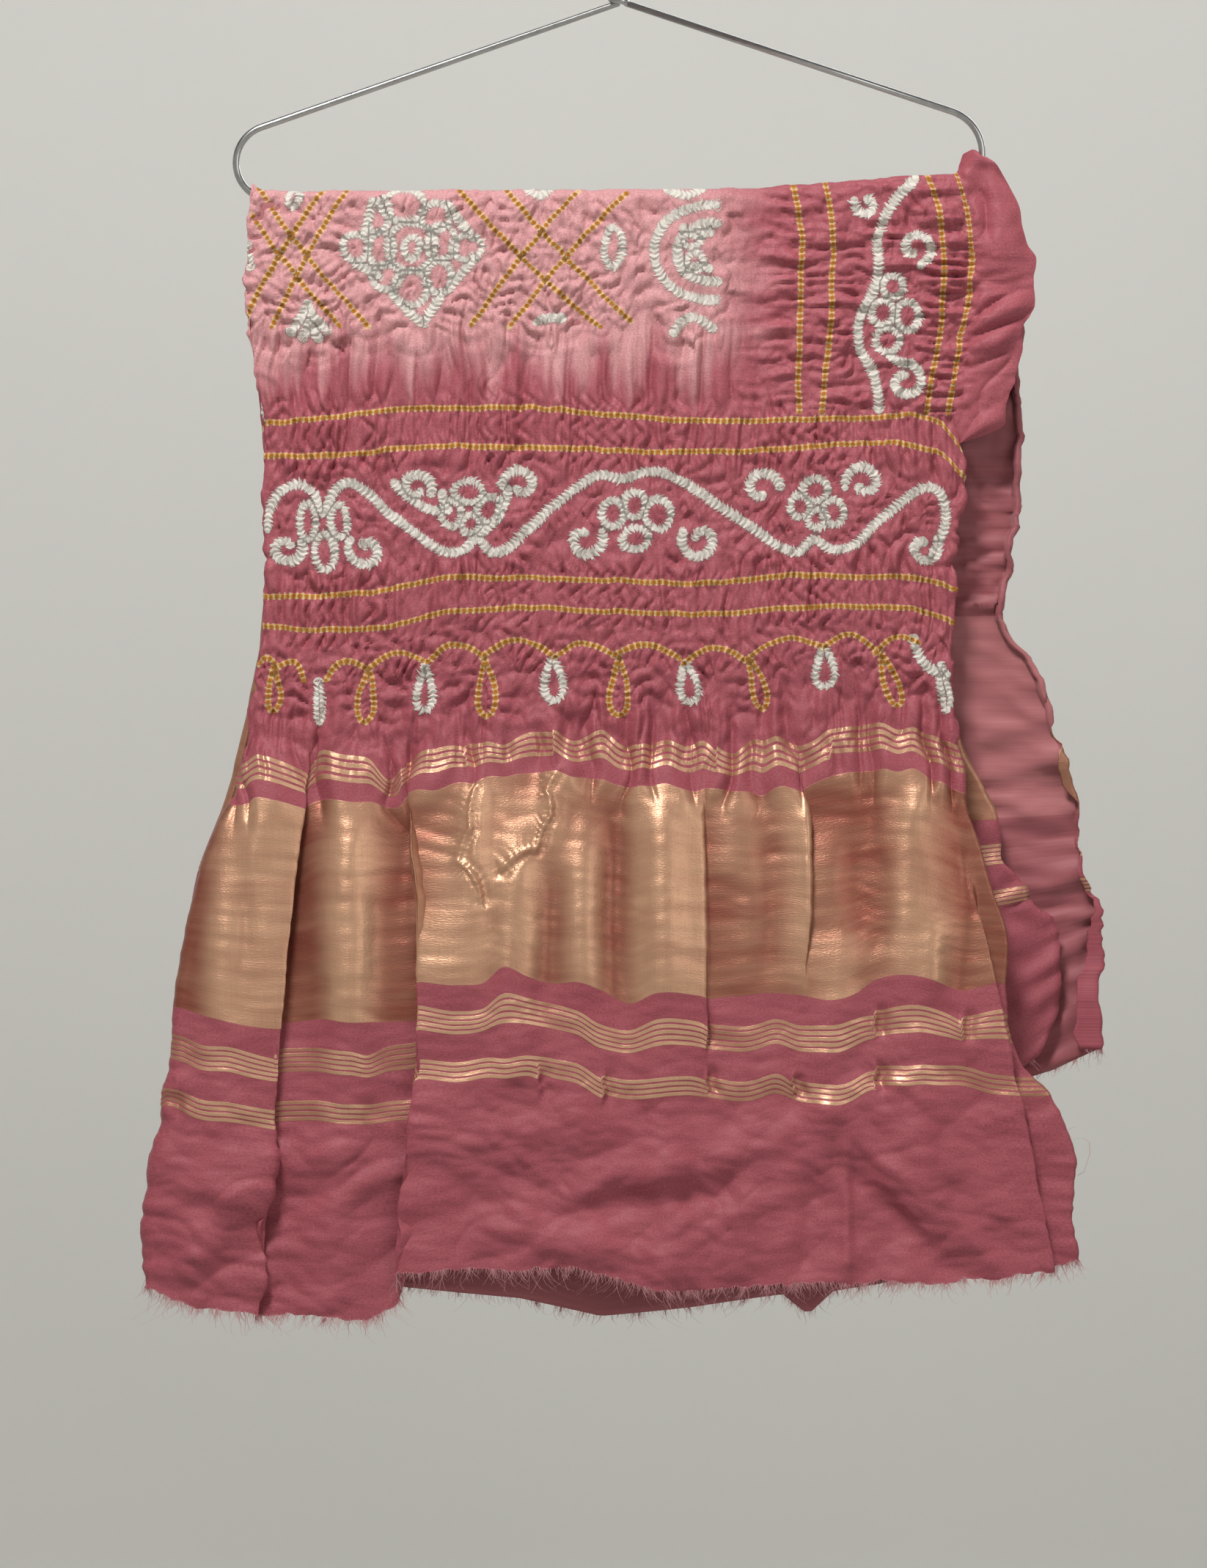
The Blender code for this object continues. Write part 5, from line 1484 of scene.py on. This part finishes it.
def build_back(settings, face, wrong):
    """The outer layer's back fall, with its margin and its half of the left fold."""
    rows = np.concatenate([[BEHIND_CROWN], np.linspace(BEHIND_CROWN, BACK_FALL, 168)[1:]])
    own = np.linspace(1, 0, 27)[:-1]
    parts = [(margin, np.minimum(own / ROLL_SHARE, 1), ((rows, False),)),
             (outer_layer, np.linspace(1, 0, 145), ((rows, False),)),
             (left_turn, np.linspace(0, 1, 8)[1:], ((rows, False),))]
    grids, share_list, drop_list = layer_grid(parts)
    grid = np.concatenate(grids, 1)[:, ::-1]
    drop = -np.concatenate(drop_list, 1)[:, ::-1]
    edge_share = np.zeros_like(drop)
    edge_share[:, -len(own):] = share_list[0][:, ::-1]
    rolled = np.zeros_like(drop)
    rolled[:, -len(own):] = np.clip((own[::-1] - ROLL_SHARE) / (1 - ROLL_SHARE), 0, 1)
    x = grid[..., 0].copy()
    flat = drop + BACK_PATTERN_SHIFT
    white = distances(white_shapes(), x, flat, SHAPE_REACH)
    yellow = tied_lines(x, flat, *distances(yellow_shapes(), x, flat, SHAPE_REACH))
    gathered = 1 - ramp(flat, 300, 340)
    height = gathered * 0.7 * tie_creases(yellow[0], yellow[1], 9.0, 7.0, 0.8, 111)
    height += gathered * 0.5 * creased(x / 9, drop / 60, 112)
    height += (1 - gathered) * (0.6 * noise(x / 14, drop / 12, 113) + 0.4 * noise(x / 30, drop / 30, 114))
    bend = drop + 6 * noise(x / 30, drop / 40, 115)
    side = ramp(x, 120, 170)
    upper_side = 1 - ramp(drop, 225, 245)
    ruffle = 1.5 * creased(bend / 11, x / 34, 116)
    ruffle = ruffle + (0.9 + 0.8 * upper_side) * creased(bend / 6.4, x / 24, 117)
    height += side * (1 + 0.5 * upper_side) * ruffle
    height = height * ramp(drop, BEHIND_CROWN, 30)
    grid = grid + normals_of(grid) * height[..., None]
    grid[..., 0] += edge_share * (2.4 * noise(drop / 13, 0 * x, 118) + 1.2 * noise(drop / 5, 0 * x, 119))
    grid[..., 1] += edge_share * 3.0 * noise(drop / 15, edge_share, 120)
    past = rolled * read(ROLLS, "width", drop)
    past = past * (1 + 0.25 * noise(drop / 12, 0 * x, 121))
    turn = np.minimum(past / ROLL_RADIUS, math.pi)
    grid[..., 0] += 0.8 * rolled * (1 - ramp(drop, 296, 306)) + ROLL_RADIUS * np.sin(turn)
    grid[..., 0] -= np.clip(past - math.pi * ROLL_RADIUS, 0, None)
    grid[..., 1] -= ROLL_RADIUS * (1 - np.cos(turn)) + 0.6 * np.sin(past / 3.0)
    fields = {"flat": flat, "dye": light_dye(x, flat), "white_far": white[0], "white_run": white[1],
              "yellow_far": yellow[0], "yellow_run": yellow[1]}
    piece = cloth_mesh("back_outer", grid, fields, x, flat)
    piece.data.materials.append(face)
    piece.data.materials.append(wrong)
    thicken = piece.modifiers.new("thickness", "SOLIDIFY")
    thicken.thickness = settings.layer_thickness
    thicken.offset = 0
    thicken.material_offset = 1
    declare(piece, "bandhani_cloth")
    HEMS["back"] = Hung(piece, mesh_area(grid), grid[-1])


class BANDHANI_OT_Behind(bpy.types.Operator):
    """Builds the inner layer and the back of the cloth"""

    bl_idname = "bandhani.behind"
    bl_label = "Inner layer and back"

    def execute(self, context):
        settings = context.scene.bandhani
        face = bpy.data.materials.get("rose silk satin with gold zari")
        if face is None:
            raise RuntimeError("The front is built first, because the back shares its silk")
        wrong = wrong_side_material(settings)
        build_inner(settings, face, wrong)
        build_back(settings, face, wrong)
        return {"FINISHED"}


def arc(centre, radius, start, end, count):
    """Points of an arc in the hanger's plane. Angles are in degrees from the right, turning left."""
    angles = np.radians(np.linspace(start, end, count))
    return [(centre[0] + radius * math.cos(a), 0.0, centre[1] + radius * math.sin(a)) for a in angles]


def tangent_angle(apex, centre, radius, side):
    """The angle on a bend's circle where a straight arm from the apex runs into it."""
    towards = math.atan2(apex[1] - centre[1], apex[0] - centre[0])
    return math.degrees(towards + side * math.acos(radius / math.dist(apex, centre)))


def wire_path():
    """The wire's own line: hook, shank, left arm, bar, right arm, and the turns round the shank. The
    shank is a cubic with upright ends."""
    left_centre = (LEFT_BEND_X, LEFT_BEND_RADIUS - BAR_DROP)
    right_centre = (RIGHT_BEND_X, RIGHT_BEND_RADIUS + BAR_RISE - BAR_DROP)
    left_start = tangent_angle((0.0, -NECK_DROP), left_centre, LEFT_BEND_RADIUS, 1)
    turn_radius = WIRE_DIAMETER + NECK_GAP
    right_end = tangent_angle((turn_radius, -NECK_DROP), right_centre, RIGHT_BEND_RADIUS, -1)
    hook_centre = WIRE_DIAMETER / 2 - HOOK_RADIUS
    points = arc((0.0, hook_centre), HOOK_RADIUS, 180 + HOOK_PAST_LEVEL, 0, 64)
    t = np.linspace(0, 1, 24)[1:, None]
    weights = np.hstack([(1 - t) ** 3, 3 * t * (1 - t) ** 2, 3 * t * t * (1 - t), t**3])
    pulls = np.array([(HOOK_RADIUS, 0, hook_centre), (HOOK_RADIUS, 0, hook_centre - SHANK_PULL),
                      (0, 0, SHANK_PULL - SHANK_DROP), (0, 0, -SHANK_DROP)])
    points += (weights @ pulls).tolist()
    points += [(0.0, 0.0, -NECK_DROP + 5.0), (-1.0, 0.0, -NECK_DROP + 1.2)]
    points += arc(left_centre, LEFT_BEND_RADIUS, left_start, 270, 36)
    points += arc(right_centre, RIGHT_BEND_RADIUS, -90, right_end, 36)
    turn = np.linspace(0, NECK_TURNS, int(NECK_TURNS * 24))
    height = -NECK_DROP + 1.5 + (WIRE_DIAMETER + NECK_GAP) * turn
    angle = 2 * math.pi * turn
    points += np.stack([turn_radius * np.cos(angle), -turn_radius * np.sin(angle), height], -1).tolist()
    return points


class BANDHANI_OT_Hanger(bpy.types.Operator):
    """Builds the wire hanger"""

    bl_idname = "bandhani.hanger"
    bl_label = "Hanger"

    def execute(self, context):
        curve = bpy.data.curves.new("hanger_round_wire", "CURVE")
        curve.dimensions = "3D"
        curve.bevel_depth = context.scene.bandhani.wire_diameter / 2
        curve.bevel_resolution = WIRE_SIDES // 4 - 1
        curve.use_fill_caps = True
        points = wire_path()
        spline = curve.splines.new("POLY")
        spline.points.add(len(points) - 1)
        for place, point in zip(spline.points, points):
            place.co = (*(MM * c for c in point), 1)
        helper = bpy.data.objects.new("wire_line", curve)
        mesh = bpy.data.meshes.new_from_object(helper)
        bpy.data.objects.remove(helper)
        mesh.shade_smooth()
        mesh.materials.clear()
        mesh.materials.append(steel_material(context.scene.bandhani))
        wire = bpy.data.objects.new("hanger_round_wire", mesh)
        context.scene.collection.objects.link(wire)
        declare(wire, "hanger_wire")
        return {"FINISHED"}


# The stage: a pale round backdrop that curves into its floor, and the camera's own view of the photograph
STAGE_RADIUS = 4900.0
FLOOR_DROP = 2000.0
STAGE_HEIGHT = 3600.0
STAGE_CURVE = 350.0
VIEW_X = -8.5
VIEW_DROP = 514.7
VIEW_DISTANCE = 2900.0
VIEW_HEIGHT = 866.0
SENSOR_WIDTH = 36.0
LAMP_COLOUR = (1.0, 0.99, 0.975)
ROOM_COLOUR = (0.93, 0.94, 0.95, 1)
ROOM_LIGHT = 0.12

# The lamps in metres and watts: where each soft square stands, what it faces, its width and its power
Lamp = namedtuple("Lamp", "name place target size power")
LAMPS = [Lamp(*row) for row in (
    ("key", (-0.55, -1.45, 1.8), (0.0, 0.0, -0.5), 0.6, 77.0),
    ("fill", (1.9, -2.0, 0.3), (0.0, 0.0, -0.5), 1.4, 13.0),
    ("wash", (0.0, 1.8, 1.6), (0.0, 4.9, 1.3), 2.0, 58.0),
    ("front wash", (0.0, -1.8, 1.9), (0.0, -4.9, 1.3), 2.0, 30.0),
    ("left wash", (-1.8, 0.0, 1.9), (-4.9, 0.0, 1.3), 2.0, 30.0),
    ("right wash", (1.8, 0.0, 1.9), (4.9, 0.0, 1.3), 2.0, 30.0),
    ("back", (1.2, 2.4, 1.0), (0.0, 0.0, -0.5), 1.6, 28.0),
)]


def stage_profile():
    """The backdrop's profile as radius and height: a level floor, a quarter circle and an upright wall."""
    angle = np.linspace(0, math.pi / 2, 16)[1:]
    inner = STAGE_RADIUS - STAGE_CURVE
    floor = np.linspace(1, inner, 12)
    wall = np.linspace(STAGE_CURVE + 10, STAGE_HEIGHT, 6)
    radius = np.concatenate([floor, inner + STAGE_CURVE * np.sin(angle), STAGE_RADIUS + 0 * wall])
    rise = np.concatenate([0 * floor, STAGE_CURVE * (1 - np.cos(angle)), wall])
    return radius, rise - FLOOR_DROP


class BANDHANI_OT_Stage(bpy.types.Operator):
    """Builds the backdrop, the lights and the camera"""

    bl_idname = "bandhani.stage"
    bl_label = "Stage"

    def execute(self, context):
        if not frame["nodes"]:
            raise RuntimeError("The stage was asked for before the packed model was loaded")
        radius, rise = stage_profile()
        turn = np.linspace(0, 2 * math.pi, 97)
        r, a = np.meshgrid(radius, turn, indexing="ij")
        z = np.repeat(rise[:, None], len(turn), 1)
        grid = np.stack([r * np.cos(a), r * np.sin(a), z], -1)
        mesh = bpy.data.meshes.new("backdrop")
        mesh.from_pydata((grid * MM).reshape(-1, 3).tolist(), [], grid_faces(*grid.shape[:2]).tolist())
        mesh.shade_smooth()
        material, tree, shader = new_material("matt pale backdrop cloth")
        place = add(tree, "TexCoord", out="Object")
        cloud = add(tree, "TexNoise", place, 1.2, 2.0)
        base = add(tree, "Mix", cloud, rgba("#d6d5d1"), rgba("#dcdbd7"), data_type="RGBA")
        tree.links.new(base, shader.inputs["Base Color"])
        shader.inputs["Roughness"].default_value = 0.9
        mesh.materials.append(material)
        backdrop = bpy.data.objects.new("backdrop", mesh)
        context.scene.collection.objects.link(backdrop)
        for name, place, target, size, power in LAMPS:
            lamp = bpy.data.lights.new(name, "AREA")
            lamp.shape = "SQUARE"
            lamp.size = size
            lamp.energy = power
            lamp.color = LAMP_COLOUR
            light = bpy.data.objects.new(name, lamp)
            light.location = place
            aim = np.array(target) - np.array(place)
            pitch = math.atan2(math.hypot(aim[0], aim[1]), -aim[2])
            light.rotation_euler = (pitch, 0, math.atan2(aim[1], aim[0]) - math.pi / 2)
            context.scene.collection.objects.link(light)
        world = bpy.data.worlds.new("pale room")
        world.use_nodes = True
        world.node_tree.nodes["Background"].inputs[0].default_value = ROOM_COLOUR
        world.node_tree.nodes["Background"].inputs[1].default_value = ROOM_LIGHT
        context.scene.world = world
        context.scene.view_settings.view_transform = "Standard"
        lens = bpy.data.cameras.new("photograph")
        lens.sensor_width = SENSOR_WIDTH
        lens.lens = SENSOR_WIDTH * VIEW_DISTANCE / VIEW_HEIGHT
        lens.clip_end = 50.0
        camera = bpy.data.objects.new("photograph", lens)
        camera.location = (VIEW_X * MM, -VIEW_DISTANCE * MM, -VIEW_DROP * MM)
        camera.rotation_euler = (math.pi / 2, 0, 0)
        context.scene.collection.objects.link(camera)
        context.scene.camera = camera
        return {"FINISHED"}


class BANDHANI_PT_Panel(bpy.types.Panel):
    """Lists the parts of the cloth and their colours"""

    bl_label = "Bandhani cloth"
    bl_idname = "BANDHANI_PT_panel"
    bl_space_type = "VIEW_3D"
    bl_region_type = "UI"
    bl_category = "Bandhani"

    def draw(self, context):
        for item in CLASSES:
            if issubclass(item, bpy.types.Operator):
                self.layout.operator(item.bl_idname)
        for name in BANDHANI_PG_Cloth.__annotations__:
            self.layout.prop(context.scene.bandhani, name)


CLASSES = (BANDHANI_PG_Cloth, BANDHANI_OT_Front, BANDHANI_OT_Behind, BANDHANI_OT_Fray, BANDHANI_OT_Hanger,
           BANDHANI_OT_Stage, BANDHANI_PT_Panel)


def register():
    for item in CLASSES:
        bpy.utils.register_class(item)
    bpy.types.Scene.bandhani = bpy.props.PointerProperty(type=BANDHANI_PG_Cloth)


def unregister():
    del bpy.types.Scene.bandhani
    for item in reversed(CLASSES):
        bpy.utils.unregister_class(item)


def main():
    register()
    bpy.ops.bandhani.front()
    bpy.ops.bandhani.behind()
    bpy.ops.bandhani.fray()
    bpy.ops.bandhani.hanger()
    bpy.ops.bandhani.stage()


if __name__ == "__main__":
    main()
